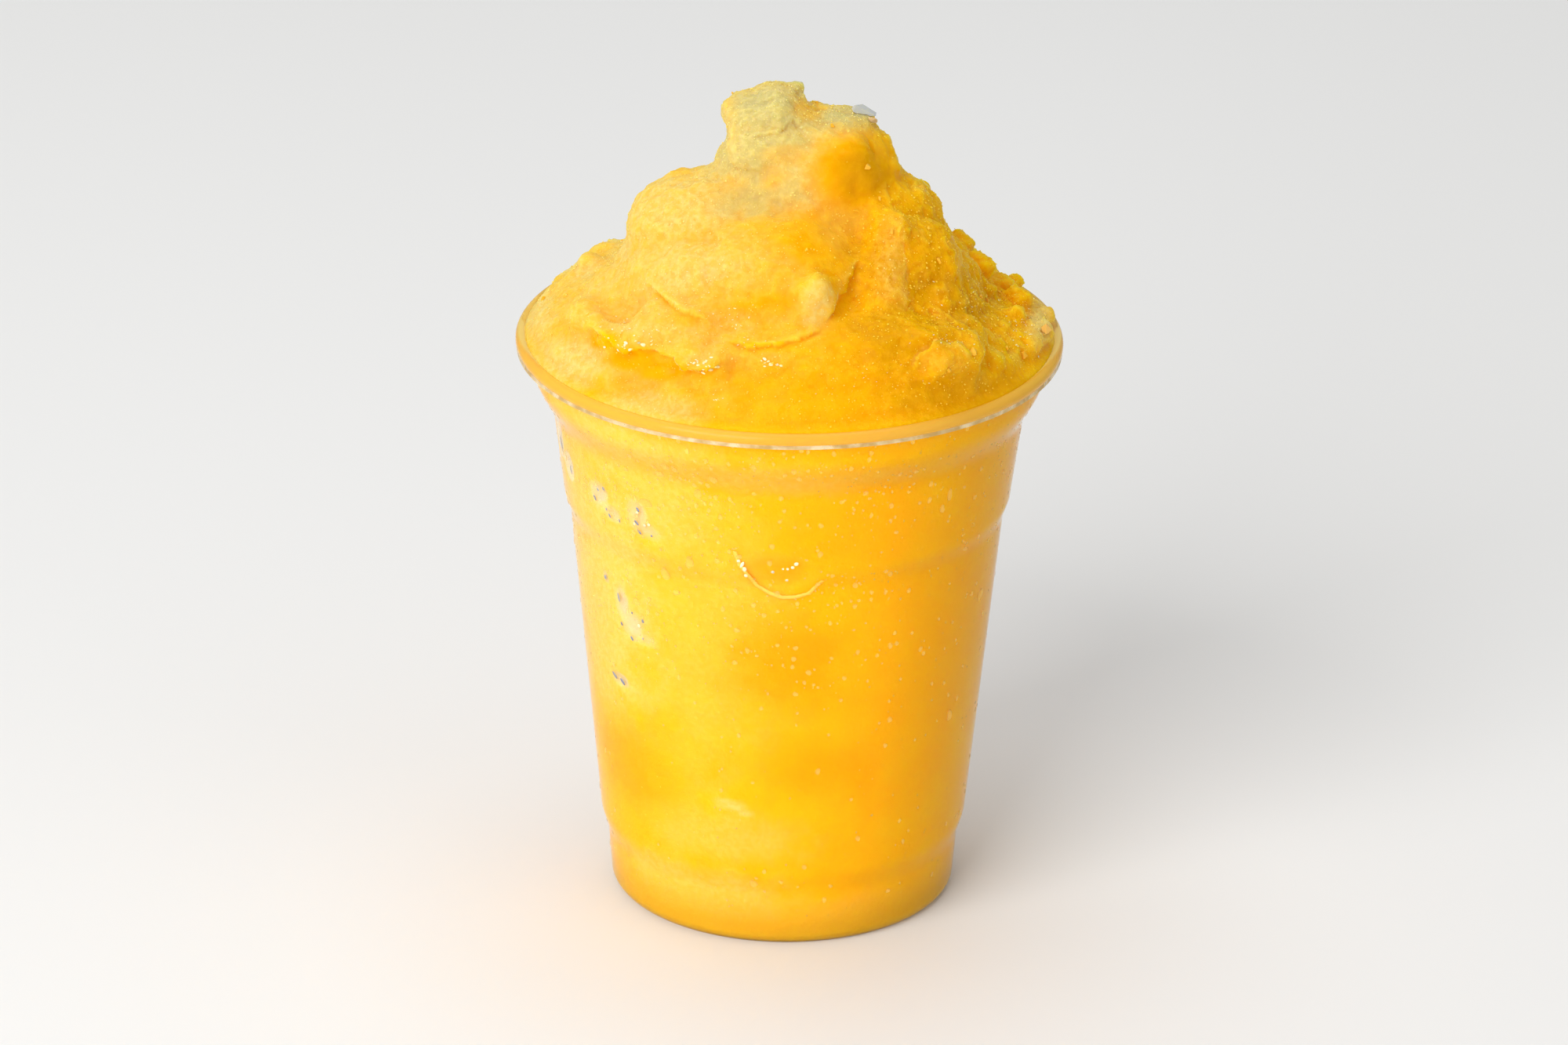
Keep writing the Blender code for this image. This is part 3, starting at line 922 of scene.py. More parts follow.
def paintSlush(mesh):
    points = readPoints(mesh)
    across, up = asSeen(points)
    isFront = facingFront(points, readNormals(mesh))
    wobble = 0.35 * noiseAt(points, 5.0, 4.4) + 0.2 * noiseAt(points, 1.8, 9.4)
    onWall = 1 - ease(103, 106.5, points[:, 2])
    onHeap = isFront * (1 - onWall)
    isBack = 1 - isFront
    broad = noiseAt(points, 16.0, 12.5)
    syrup, paleHeap = shadeEdges(across + wobble, up - wobble, softSpots(across, up, syrupOnHeap, wobble),
                                 softSpots(across, up, paleOnHeap, wobble))
    yellow = onHeap * softSpots(across, up, yellowOnHeap, wobble * 0.7, (0.55, 1.2))
    wide = softSpots(across, up, paleParts, wobble) * (1 - syrup)
    paleHeap = np.maximum(paleHeap, wide) * (1 - yellow)
    syrup = np.maximum(syrup * onHeap, yellow)
    syrupOnWall = onWall * spotsOnWall(points, syrupInCup, wobble)
    syrup = np.maximum(syrup, syrupOnWall)
    syrup = np.maximum(syrup, isBack * ease(0.05, 0.4, broad) * 0.8)
    pale = onHeap * paleHeap
    pale = np.maximum(pale, onWall * spotsOnWall(points, paleInCup, wobble) * (1 - 0.9 * syrupOnWall))
    pale = np.maximum(pale, isBack * (1 - onWall) * ease(0.05, 0.4, -broad) * 0.75)
    pale = np.maximum(pale, isBack * ease(138, 146, points[:, 2]) * 0.9)
    # Painted light and shade on the crystals of the rough flank: raised faces paler, sunk gaps darker
    size, _, seed = iceRelief["chips"]
    facetLightAndShade = brokenIce(points, size, seed) * roughShare(points) * ease(108, 111, points[:, 2])
    addMask(mesh, "syrup", syrup)
    addMask(mesh, "pale", np.maximum(pale, 0.25 * np.maximum(facetLightAndShade, 0)))
    # Painted shade on the heap, and in the sunk gaps between the crystals
    paintedShade = onHeap * softSpots(across, up, paintedShadeOnHeap, wobble)
    addMask(mesh, "paintedShade", np.maximum(paintedShade, 0.5 * np.maximum(-facetLightAndShade, 0)))
    dry = onHeap * softSpots(across, up, dryOnHeap, wobble) * (1 - yellow)
    addMask(mesh, "dry", np.maximum(dry, isBack * ease(143, 149, points[:, 2]) * 0.9))
    addMask(mesh, "air", onWall * spotsOnWall(points, airInCup, wobble * 0.7))


slushColours = {
    "body": (0.93, 0.43, 0.001),
    "cloud": (0.93, 0.475, 0.002),
    "syrup": (0.93, 0.435, 0.0),
    "syrupBehindWall": (0.93, 0.375, 0.0),
    "pale": (0.80, 0.55, 0.12),
    "dry": (0.59, 0.495, 0.18),
    # painted shade: the body colour made darker
    "paintedShade": (0.68, 0.315, 0.0),
    "speck": (1.0, 0.58, 0.015),
    "paleSpeck": (0.95, 0.76, 0.28),
    "air": (0.60, 0.50, 0.32),
    # painted shade: the slush darker towards the foot of the cup
    "foot": (0.70, 0.36, 0.012),
}

# Specks of ice in the slush: size and strength of the crystals, and strength of the frost
slushFinish = {
    "frost": 0.45,
    "crystals": ((0.5, 0.35), (1.3, 0.2)),
    "wallZone": (107 * mm, 101 * mm),
    "footShadeZone": (10 * mm, 3.5 * mm),
    "roughness": (0.42, 0.25),
    "bump": {"Strength": 0.8, "Distance": 0.5 * mm},
    "inputs": {
        "Subsurface Weight": 1.0,
        "Subsurface Radius": (1.0, 0.9, 0.35),
        "Subsurface Scale": 4.5 * mm,
        "IOR": 1.33,
        "Specular IOR Level": 0.08,
    },
}


def slushMaterial():
    material, tree, shader = newMaterial("pineappleSlush")
    hue, finish = slushColours, slushFinish
    syrup, pale, dry, paintedShade, air = [maskOf(tree, name) for name in ("syrup", "pale", "dry", "paintedShade", "air")]
    up = addNode(tree, "SeparateXYZ", {"Vector": placeOn(tree)}).outputs["Z"]
    behindWall = ranged(tree, up, *finish["wallZone"])
    frost = addNode(tree, "Group", {"Size": 1.05, "Patchiness": 0.5}, node_tree=fineMist).outputs
    colour = mixed(tree, hue["body"], hue["cloud"], ranged(tree, noiseOn(tree, 110, 5), 0.35, 0.7))
    colour = mixed(tree, colour, mixed(tree, hue["syrup"], hue["syrupBehindWall"], behindWall), syrup)
    paleGrains = product(tree, pale, ranged(tree, frost["Height"], 0.4, 0.6, 0.76, 1.12))
    # Pale and dry ice, then the painted shade
    for name, amount in (("pale", paleGrains), ("dry", dry), ("paintedShade", paintedShade)):
        colour = mixed(tree, colour, hue[name], amount)
    speckColour = mixed(tree, hue["speck"], hue["paleSpeck"], pale)
    showing = product(tree, ranged(tree, behindWall, 0, 1, 1, 0.4), ranged(tree, syrup, 0, 1, 1, 0.35))
    specks = [product(tree, frost["Mask"], finish["frost"])]
    for size, strength in finish["crystals"]:
        cells = addNode(tree, "Group", {"Size": size}, node_tree=iceSpecks)
        specks.append(product(tree, cells.outputs["Mask"], strength))
    for amount in specks:
        colour = mixed(tree, colour, speckColour, product(tree, amount, showing))
    colour = mixed(tree, colour, hue["air"], air)
    # Painted shade, darker towards the foot of the cup
    colour = mixed(tree, colour, hue["foot"], ranged(tree, up, *finish["footShadeZone"]))
    relief = addNode(tree, "Math", {0: specks[0], 1: specks[2]}).outputs[0]
    bump = addNode(tree, "Bump", {**finish["bump"], "Height": product(tree, relief, showing)})
    setInputs(tree, shader, {
        **finish["inputs"],
        "Base Color": colour,
        "Roughness": ranged(tree, syrup, 0, 1, *finish["roughness"]),
        "Normal": bump.outputs["Normal"],
    })
    return material


def drawBack(points):
    # The slush leaves the wall a little where there is air, and inside the crescent
    points = np.array(points)
    wobble = 0.2 * noiseAt(points, 1.8, 9.4)
    air = spotsOnWall(points, airInCup, wobble)
    crescent = spotsOnWall(points, {"crescent": syrupInCup["crescent"]}, 0)
    depth = slushForm["airDepth"] * np.maximum(air, crescent) * ease(10, 14, points[:, 2])
    points[:, :2] *= (1 - depth / np.maximum(np.hypot(points[:, 0], points[:, 1]), 20))[:, None]
    return points


def fillAngles():
    # Finer columns on the side with the most detail
    first, last = slushForm["fineSector"]
    fine = np.arange(first, last, slushForm["fineStep"])
    coarse = np.arange(last, first + 360, slushForm["coarseStep"])
    return np.radians(np.concatenate([fine, coarse]) - 90)


def makeSlush():
    heap = fineHeap()
    writePoints(heap, roughenHeap(heap))
    points, faces, ring = cutAtSeam(thinHeap(heap))
    top = slushForm["seam"] - 0.4
    start = (float(wallReach(np.array([top]))[0]), top)
    below = [p for p in fillOutline() if p[1] < top - 0.6 or p[0] < 20]
    side = spreadAlong([start] + below[:-1], slushForm["fillStep"])
    outline = np.concatenate([side, spreadAlong(below[-2:], slushForm["baseStep"])[1:]])
    angles = fillAngles()
    sides = len(angles)
    first = len(points)
    fill = [(radius * math.cos(a), radius * math.sin(a), height) for radius, height in outline[:-1] for a in angles]
    points += [tuple(p) for p in drawBack(fill)]
    points.append((0.0, 0.0, float(outline[-1][1])))
    for i in range(len(outline) - 2):
        high, low = first + i * sides, first + (i + 1) * sides
        faces += [(high + j, low + j, low + (j + 1) % sides, high + (j + 1) % sides) for j in range(sides)]
    last = first + (len(outline) - 2) * sides
    faces += [(last + j, len(points) - 1, last + (j + 1) % sides) for j in range(sides)]
    faces += sew(points, ring, range(first, first + sides))
    slush = makeMesh("pineappleSlush", points, faces, slushMaterial())
    faceOutwards(slush.data)
    paintSlush(slush.data)
    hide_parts("slush")
    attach(slush, "root")
    print("slush made,", countTriangles(slush.data), "triangles")
    return slush


slush = makeSlush()


# Ice: small grains all over the heap, and a few larger chips on the rough flank and the peak
iceForm = {
    "grains": 10000,
    "grainSize": (0.07, 0.22),
    "grainColour": (1, 0.66, 0.06),
    "paleGrain": (0.95, 0.78, 0.3),
    "grainGloss": 0.2,
    "chips": 70,
    "chipSize": (0.3, 0.75),
    "chipColour": (0.88, 0.5, 0.03),
    "greyIce": (0.54, 0.55, 0.51),
    "chipGloss": 0.25,
    "seed": 5,
}

# Chips seen from the front that stand out: across, up, half sizes, turn in degrees, and how grey
# they are
namedChips = {
    "peakIce": (12.6, 149.2, (2.1, 1, 0.9), 32, 1),
    "peakIceFoot": (14.2, 147.6, (0.9, 0.7, 0.6), 10, 0.5),
    "rightRimIce": (45.6, 108.4, (1.2, 1, 0.9), 50, 0.2),
}


def surfaceSpots(mesh, count, draw, weightOf):
    # Random places on the mesh, chosen by area and by the weight given, with their normals and
    # nearest points
    points = readPoints(mesh)
    mesh.calc_loop_triangles()
    triangles = np.empty(len(mesh.loop_triangles) * 3, dtype=np.int32)
    mesh.loop_triangles.foreach_get("vertices", triangles)
    triangles = triangles.reshape(-1, 3)
    corners = points[triangles]
    cross = np.cross(corners[:, 1] - corners[:, 0], corners[:, 2] - corners[:, 0])
    area = np.linalg.norm(cross, axis=1)
    weight = area * weightOf(corners.mean(axis=1))
    chosen = draw.choice(len(area), size=count, p=weight / weight.sum())
    u, v = draw.random(count), draw.random(count)
    over = u + v > 1
    u[over], v[over] = 1 - u[over], 1 - v[over]
    c = corners[chosen]
    spots = c[:, 0] + u[:, None] * (c[:, 1] - c[:, 0]) + v[:, None] * (c[:, 2] - c[:, 0])
    return spots, cross[chosen] / np.maximum(area[chosen], 1e-9)[:, None], triangles[chosen, 0]


def readMask(mesh, name):
    values = np.empty(len(mesh.vertices), dtype=np.float32)
    mesh.attributes[name].data.foreach_get("value", values)
    return values


def iceMaterial(name, plain, other, gloss, roughness):
    # Ice whose colour runs from plain to other by the mask on the mesh
    material, tree, shader = newMaterial(name)
    setInputs(tree, shader, {
        "Base Color": mixed(tree, plain, other, maskOf(tree, "shade")),
        "Roughness": roughness,
        "IOR": 1.31,
        "Specular IOR Level": gloss,
        "Subsurface Weight": 1.0,
        "Subsurface Radius": (1.0, 0.9, 0.4),
        "Subsurface Scale": 0.1 * mm,
    })
    return material


def makeGrains(draw):
    # Each grain is an uneven eight-faced crystal, half sunk in the slush
    def density(middle):
        across, up = asSeen(middle)
        isSoaked = (np.hypot((across - 11.5) / 8.0, (up - 138.0) / 7.5) < 1) & (middle[:, 1] < 0)
        return ease(107.2, 109.5, middle[:, 2]) * (0.5 + 0.5 * roughShare(middle)) * np.where(isSoaked, 0.1, 1.0)
    spots, normals, nearest = surfaceSpots(slush.data, iceForm["grains"], draw, density)
    pale = np.maximum(readMask(slush.data, "pale"), readMask(slush.data, "dry"))[nearest]
    low, high = iceForm["grainSize"]
    points, faces = [], []
    axes = np.array([(1, 0, 0), (0, 1, 0), (0, 0, 1), (-1, 0, 0), (0, -1, 0), (0, 0, -1)], dtype=float)
    around = ((0, 1, 2), (1, 3, 2), (3, 4, 2), (4, 0, 2), (1, 0, 5), (3, 1, 5), (4, 3, 5), (0, 4, 5))
    for spot, normal in zip(spots, normals):
        size = low + (high - low) * draw.random() ** 2
        turned, _ = np.linalg.qr(draw.normal(size=(3, 3)))
        shape = (axes * (0.6 + 0.7 * draw.random((6, 1)))) @ turned * size
        first = len(points)
        points += list(shape + spot + normal * size * 0.2)
        faces += [tuple(first + i for i in face) for face in around]
    material = iceMaterial("iceGrains", iceForm["grainColour"], iceForm["paleGrain"], iceForm["grainGloss"], 0.35)
    addIce("iceGrains", points, faces, material, np.repeat(pale, len(axes)))


def addIce(name, points, faces, material, shade, isSmooth=False):
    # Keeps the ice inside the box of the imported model
    low, high = np.array(cadBox[0]) / mm, np.array(cadBox[1]) / mm
    ice = makeMesh(name, np.clip(np.array(points), low + 0.01, high - 0.01), faces, material, isSmooth)
    faceOutwards(ice.data)
    addMask(ice.data, "shade", shade)
    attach(ice, "root")
    print(name, "made,", countTriangles(ice.data), "triangles")


def brokenChip(draw, half, turnBy):
    # Convex block from random points on an uneven box
    bm = bmesh.new()
    for i in range(12):
        p = draw.uniform(-1, 1, 3)
        p[draw.integers(3)] = draw.choice((-1.0, 1.0))
        bm.verts.new(p * np.array(half))
    bmesh.ops.rotate(bm, verts=bm.verts, cent=(0, 0, 0), matrix=Matrix.Rotation(turnBy, 3, "Y"))
    hull = bmesh.ops.convex_hull(bm, input=bm.verts)
    inner = [e for e in hull["geom_interior"] if isinstance(e, bmesh.types.BMVert)]
    bmesh.ops.delete(bm, geom=inner, context="VERTS")
    bm.verts.index_update()
    points = np.array([v.co for v in bm.verts])
    faces = [tuple(v.index for v in f.verts) for f in bm.faces]
    bm.free()
    return points, faces


def onHeapFront(across, up):
    # The point of the heap that shows at this place from the front, or the nearest one beside the heap
    start, aim = Vector(eye) * mm, Vector((across, 0, up)) * mm
    isHit, place, normal, _ = slush.ray_cast(start, (aim - start).normalized())
    if not isHit:
        _, place, normal, _ = slush.closest_point_on_mesh(aim)
    return np.array(place) / mm, np.array(normal)


def makeChips(draw):
    def density(middle):
        return roughShare(middle) * ease(108, 112, middle[:, 2]) * (1 - 0.6 * ease(135, 145, middle[:, 2]))
    spots, normals, _ = surfaceSpots(slush.data, iceForm["chips"], draw, density)
    low, high = iceForm["chipSize"]
    chips = []
    for spot, normal in zip(spots, normals):
        size = low + (high - low) * draw.random() ** 1.6
        half, turnBy, grey = size * draw.uniform(0.6, 1.2, 3), draw.uniform(0, math.pi), draw.uniform(0, 0.05)
        chips.append((spot - normal * size * 0.15, half, turnBy, grey))
    for across, up, half, turnBy, grey in namedChips.values():
        chips.append((onHeapFront(across, up)[0], half, math.radians(turnBy), grey))
    points, faces, shade = [], [], []
    for spot, half, turnBy, grey in chips:
        shape, sides = brokenChip(draw, half, turnBy)
        first = len(points)
        points += list(shape + spot)
        faces += [tuple(first + i for i in face) for face in sides]
        shade += [grey] * len(shape)
    material = iceMaterial("iceChips", iceForm["chipColour"], iceForm["greyIce"], iceForm["chipGloss"], 0.25)
    addIce("iceChips", points, faces, material, shade)


iceDraw = np.random.default_rng(iceForm["seed"])
makeGrains(iceDraw)
makeChips(iceDraw)


# Condensation: beads of water on the outside of the cup
dropForm = {
    "count": 3400,
    "size": (0.1, 0.52),
    "tries": 40000,
    "heights": (6, 103.5),
    "flatness": 0.28,
    "sunk": 0.04,
    "largeSunk": 0.05,
    "seed": 8,
}

# Larger drops: degrees from the front, height, half width, half height
largeDrops = (
    (-17.4, 95.5, 0.7, 1), (-21.9, 91.8, 0.7, 1.1), (-25.1, 77.6, 0.9, 1.2),
    (-33.2, 73.7, 0.9, 1.3), (-37.1, 87.4, 1.5, 0.95), (-29.2, 96.7, 0.8, 1),
    (-31.8, 94.4, 0.9, 0.8), (-26.8, 96.5, 0.6, 0.7), (43.5, 88.6, 0.5, 1.4),
    (41.5, 86.2, 0.6, 0.8), (66.5, 62.9, 1.2, 1.1), (56, 41.3, 0.7, 1.2), (-30, 70.5, 0.8, 0.6),
    (-13, 65, 0.6, 0.5), (-44, 66, 1, 0.7), (-9, 13, 0.8, 0.8),
)


def onWall(azimuth, height):
    # A place on the outside of the cup: point, and the ways across, up and out
    line = np.array(wallOutline()[2:-4])[::-1]
    radius = float(np.interp(height, line[:, 1], line[:, 0]))
    slope = (np.interp(height + 0.3, line[:, 1], line[:, 0]) - np.interp(height - 0.3, line[:, 1], line[:, 0])) / 0.6
    a = math.radians(azimuth - 90)
    out = np.array((math.cos(a), math.sin(a), 0.0))
    up = np.array((math.cos(a) * slope, math.sin(a) * slope, 1.0))
    up /= np.linalg.norm(up)
    across = np.array((-math.sin(a), math.cos(a), 0.0))
    return out * radius + np.array((0, 0, height)), across, up, np.cross(across, up)


def addDome(points, faces, place, half, height, sunk, draw):
    # A bead on the wall with an uneven outline, closed where it meets the wall
    spot, across, up, out = place
    width, tall = half
    sides, rings = (8, 2) if max(half) < 0.4 else (16, 4)
    phase = draw.uniform(0, 6.28, 2)
    first = len(points)
    for i in range(rings):
        t = i / rings
        reach = math.cos(t * math.pi / 2) ** 0.8
        for j in range(sides):
            a = 2 * math.pi * j / sides
            wave = 1 + 0.10 * math.sin(2 * a + phase[0]) + 0.07 * math.sin(3 * a + phase[1])
            sag = 0.12 * tall * (1 - reach)
            lift = height * math.sin(t * math.pi / 2) - (sunk if i == 0 else 0)
            points.append(spot + across * width * reach * wave * math.cos(a)
                          + up * (tall * reach * wave * math.sin(a) - sag) + out * lift)
    points.append(spot + out * height - up * 0.12 * tall)
    points.append(spot - out * sunk)
    faces += joinRings(first, rings, sides, len(points) - 1, len(points) - 2)


waterFinish = {
    "inputs": {"Base Color": (1.0, 0.66, 0.14), "Alpha": 0.26, "IOR": 1.33, "Specular IOR Level": 0.2},
    "mist": {"Size": 0.9, "Patchiness": 0.5},
    "roughness": (0.08, 0.2),
}


def waterMaterial():
    # Beads that let most of the wall show and catch a little light
    material, tree, shader, _ = mistedMaterial("waterBeads", waterFinish)
    letLampsThrough(tree, shader)
    return material


def makeDrops():
    draw = np.random.default_rng(dropForm["seed"])
    points, faces, taken = [], [], []
    for azimuth, height, width, tall in largeDrops:
        thick = dropForm["flatness"] * min(width, tall)
        addDome(points, faces, onWall(azimuth, height), (width, tall), thick, dropForm["largeSunk"], draw)
        taken.append((azimuth, height, max(width, tall)))
    low, high = dropForm["size"]
    tries = 0
    while len(taken) < dropForm["count"] and tries < dropForm["tries"]:
        tries += 1
        azimuth, height = draw.uniform(-180, 180), draw.uniform(*dropForm["heights"])
        share = 0.12 + 0.88 * float(ease(40, 88, height)) * (1 - 0.6 * float(ease(5, 40, azimuth)))
        share *= 0.55 + 0.45 * noise.noise(Vector((azimuth / 14, height / 7, 3.3))) * 2
        if draw.random() > share:
            continue
        size = low + (high - low) * draw.random() ** 3.4
        near = np.array(taken[-900:])
        gap = np.hypot((near[:, 0] - azimuth) * 0.66, near[:, 1] - height)
        if (gap < (near[:, 2] + size) * 1.05).any():
            continue
        half = (size, size * draw.uniform(0.9, 1.35))
        addDome(points, faces, onWall(azimuth, height), half, dropForm["flatness"] * size, dropForm["sunk"], draw)
        taken.append((azimuth, height, size))
    drops = makeMesh("waterBeads", points, faces, waterMaterial())
    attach(drops, "root")
    print("water beads made,", len(taken), "beads,", countTriangles(drops.data), "triangles")


makeDrops()


# Wet glints on the heap: across, up, half sizes of the cluster, how many, and the largest half width
wetGlints = {
    "ridgeTop": (-27.5, 106.4, 5.5, 2.6, 26, 0.4),
    "ridgeLip": (-28.5, 103.8, 3.6, 0.8, 12, 0.55),
    "ridgeEnd": (-15.6, 100.7, 2.6, 1.3, 20, 0.55),
    "shelf": (-9.5, 109, 2.6, 2.2, 12, 0.35),
    "lobe": (-7, 104.9, 2.2, 1.8, 9, 0.3),
    "middle": (-3.2, 100.8, 2.8, 1, 12, 0.45),
    "skirt": (-12.5, 93.8, 2, 0.8, 6, 0.3),
    "face": (-16, 113, 14, 6, 22, 0.2),
    "rightFlank": (34, 112, 7, 5, 36, 0.28),
    "chunk": (28, 105.4, 4.5, 1.6, 14, 0.26),
    "rightEdge": (41.5, 108.5, 3, 4, 26, 0.3),
    "skirtRight": (16, 98, 12, 4, 16, 0.2),
}


def makeGlints():
    draw = np.random.default_rng(dropForm["seed"] + 1)
    points, faces, shade = [], [], []
    for across, up, halfWidth, halfHeight, count, largest in wetGlints.values():
        for i in range(count):
            x, y = across + draw.normal() * halfWidth * 0.55, up + draw.normal() * halfHeight * 0.55
            spot, out = onHeapFront(x, y)
            side = np.cross((0.0, 0.0, 1.0), out)
            side /= max(np.linalg.norm(side), 0.01)
            turnBy = draw.uniform(-0.6, 0.6)
            along = side * math.cos(turnBy) + np.cross(out, side) * math.sin(turnBy)
            size = largest * (0.35 + 0.65 * draw.random() ** 1.5)
            place = (spot, along, np.cross(out, along), out)
            addDome(points, faces, place, (size, size * draw.uniform(0.35, 0.7)), size * 0.4, 0.05, draw)
            shade += [draw.uniform(0, 0.8)] * (len(points) - len(shade))
    material = iceMaterial("wetGlints", (1.0, 0.90, 0.60), (1.0, 0.78, 0.28), 0.5, 0.12)
    addIce("wetGlints", points, faces, material, shade, True)


makeGlints()


# Air bubbles caught between the slush and the wall, by place: degrees, height, half sizes, tilt, and
# how strong a painted highlight they carry
bubbles = {
    "left": ((-54.8, 85.9, 0.22, 0.35, 40, 0), (-52.3, 86.7, 0.3, 0.4, 45, 0.2),
             (-56.7, 83.8, 0.3, 0.6, 30, 0), (-51.9, 82.7, 0.22, 0.32, 30, 0.1),
             (-50.8, 81.7, 0.25, 0.45, 35, 0), (-47, 81.6, 0.22, 0.4, 5, 0.15),),
    "right": ((-40, 85.4, 0.28, 0.5, 35, 0), (-40.3, 84.7, 0.3, 0.3, 0, 1),
              (-40.8, 82.6, 0.28, 0.6, 50, 0), (-41.6, 82.2, 0.28, 0.3, 0, 0.9),
              (-40.1, 80.9, 0.3, 0.6, 50, 0), (-36.2, 80.9, 0.25, 0.25, 0, 0.1),
              (-38.2, 82.6, 0.3, 0.3, 0, 0.8), (-36.8, 83, 0.35, 0.3, 0, 0.9),),
    "edge": ((-69.8, 85.6, 0.3, 0.8, 15, 0), (-76.5, 88.8, 0.4, 1.8, 12, 0),),
    "low": ((-51.3, 59.8, 0.28, 0.4, 35, 0), (-51.7, 65, 0.3, 0.9, 10, 0.2),
            (-42.4, 62.3, 0.3, 0.4, 20, 0.1), (-47.2, 57.8, 0.3, 0.5, 40, 0),
            (-42.8, 58.7, 0.2, 0.25, 0, 0.2), (-46.4, 63.1, 0.2, 0.25, 0, 0),
            (-44, 61, 0.35, 0.35, 0, 0.9),),
    "small": ((-57.1, 48.1, 0.35, 0.9, 60, 0.1), (-53.2, 47.7, 0.35, 0.8, 55, 0),),
    "speck": ((-57.5, 67.6, 0.4, 0.45, 0, 0.1),),
    "glint": ((-0.8, 78.1, 0.18, 0.2, 0, 0.8), (0.35, 78.1, 0.24, 0.25, 0, 1),
              (1.6, 78.4, 0.32, 0.3, 0, 1), (2.5, 79.1, 0.42, 0.36, 30, 1),
              (0.2, 75.6, 0.28, 0.28, 0, 0.7),),
    "corner": ((-12.1, 79.2, 0.35, 0.35, 0, 1), (-11.2, 78.5, 0.3, 0.7, -30, 1),
               (-10.6, 77.6, 0.4, 0.5, 0, 1), (-10.3, 76.2, 0.35, 0.4, 0, 0.9),),
    "streak": ((-3.4, 77.4, 0.3, 0.3, 0, 0.6),),
    "back": ((171, 72, 0.4, 0.6, 20, 0), (173.5, 70, 0.3, 0.4, 0, 0.9),
             (-118.5, 52.6, 0.3, 0.5, 40, 0.1),),
}

# The bright lip of the crescent: where it runs, how many lenses make it, how deep they lie, and half width
crescent = {
    "line": ((-13, 80.9), (-11.8, 78.3), (-7.6, 74.2), (-4, 72.7), (-0.9, 72), (2.6, 72.1), (6, 72.8),
             (9.7, 75.5)),
    "lenses": 64,
    "depth": 0.34,
    "halfWidth": 0.45,
}

bubbleFinish = {
    "inputs": {"Specular IOR Level": 0.2},
    "mist": {"Size": 0.7, "Patchiness": 0.5},
    "roughness": (0.12, 0.3),
    "grey": (0.22, 0.24, 0.33),
    # colour of the painted highlight
    "paintedHighlight": (0.95, 0.82, 0.50),
    "lip": (0.97, 0.53, 0.07),
    "depth": 0.3,
    "sides": 14,
}


def bubbleMaterial():
    finish = bubbleFinish
    material, tree, shader, _ = mistedMaterial("airBubbles", finish)
    # A painted highlight on the bubbles, mixed in by its mask
    colour = mixed(tree, finish["grey"], finish["paintedHighlight"], maskOf(tree, "paintedHighlight"))
    setInputs(tree, shader, {"Base Color": mixed(tree, colour, finish["lip"], maskOf(tree, "lip"))})
    return material


def inWall(place, depth):
    spot, across, up, out = place
    return spot - out * depth, across, up, out


def addBubble(points, faces, place, half, tilt):
    # A flat lens between the slush and the wall
    spot, across, up, out = place
    c, s = math.cos(math.radians(tilt)), math.sin(math.radians(tilt))
    wide, tall = (across * c + up * s) * half[0], (up * c - across * s) * half[1]
    first, sides = len(points), bubbleFinish["sides"]
    for reach, lift in ((0.75, -0.05), (1.0, 0.0), (0.75, 0.06)):
        points += [spot + wide * reach * math.cos(a) + tall * reach * math.sin(a) + out * lift
                   for a in np.linspace(0, 2 * math.pi, sides, endpoint=False)]
    points += [spot - out * 0.07, spot + out * 0.09]
    faces += joinRings(first, 3, sides, len(points) - 2, len(points) - 1)


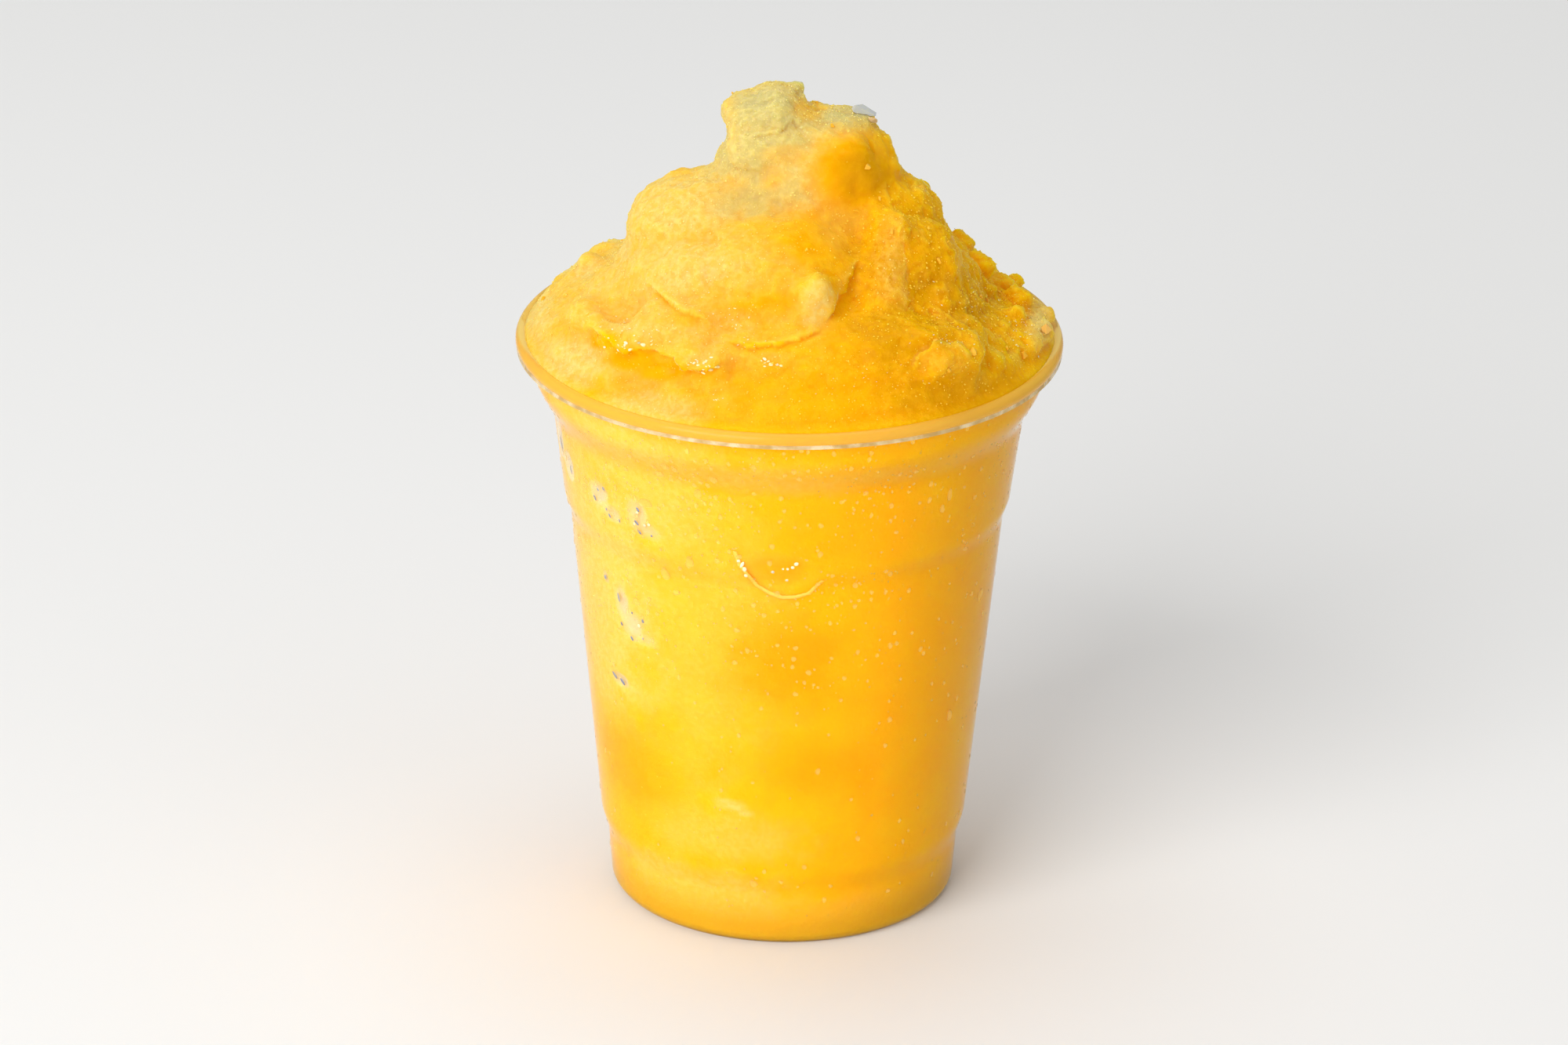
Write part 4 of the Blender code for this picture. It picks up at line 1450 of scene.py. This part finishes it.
def makeBubbles():
    points, faces, paintedHighlight = [], [], []
    for azimuth, height, width, tall, tilt, share in sum(bubbles.values(), ()):
        place = inWall(onWall(azimuth, height), bubbleFinish["depth"])
        addBubble(points, faces, place, (width, tall), tilt)
        paintedHighlight += [share] * (len(points) - len(paintedHighlight))
    line = np.array(crescent["line"])
    at = np.linspace(0, len(line) - 1, crescent["lenses"])
    azimuths = np.interp(at, range(len(line)), line[:, 0])
    heights = np.interp(at, range(len(line)), line[:, 1])
    for i in range(len(at) - 1):
        taper = 0.5 + 0.5 * math.sin(math.pi * i / (len(at) - 1))
        size = 0.32 * taper + 0.06 * math.sin(i * 1.9) + 0.06
        place = inWall(onWall(azimuths[i], heights[i]), crescent["depth"])
        addBubble(points, faces, place, (crescent["halfWidth"], size), 0)
    caught = makeMesh("airBubbles", points, faces, bubbleMaterial())
    onLip = len(points) - len(paintedHighlight)
    addMask(caught.data, "paintedHighlight", paintedHighlight + [0.0] * onLip)
    addMask(caught.data, "lip", [0.0] * len(paintedHighlight) + [1.0] * onLip)
    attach(caught, "root")
    print("air bubbles made,", countTriangles(caught.data), "triangles")


makeBubbles()


# Floor, light and world
studio = {
    "floor": {"Base Color": (0.86, 0.86, 0.85), "Roughness": 0.8},
    "floorReach": 3000,
    "lamps": {
        "key": {"place": (-0.75, -1.15, 0.95), "size": 1.1, "power": 22},
        "fill": {"place": (1.3, -0.9, 0.5), "size": 1.2, "power": 3},
        "top": {"place": (-0.1, 0.35, 1.3), "size": 1, "power": 5},
    },
    "aim": (0, 0, 0.08),
    "sky": {"Color": (1.0, 1.0, 1.0), "Strength": 0.4},
}


def makeStudio():
    material, tree, shader = newMaterial("floor")
    setInputs(tree, shader, studio["floor"])
    far = studio["floorReach"]
    corners = [(-far, -far, 0), (far, -far, 0), (far, far, 0), (-far, far, 0)]
    makeMesh("floor", corners, [(0, 1, 2, 3)], material, False)
    for name, look in studio["lamps"].items():
        lamp = bpy.data.lights.new(name, "AREA")
        lamp.size = look["size"]
        lamp.energy = look["power"]
        holder = addObject(name, lamp)
        holder.location = look["place"]
        holder.rotation_euler = (Vector(studio["aim"]) - holder.location).to_track_quat("-Z", "Y").to_euler()
    world = bpy.data.worlds.new("studio")
    world.use_nodes = True
    setInputs(world.node_tree, world.node_tree.nodes["Background"], studio["sky"])
    bpy.context.scene.world = world
    bpy.context.scene.view_settings.view_transform = "Standard"


makeStudio()
print("studio set")
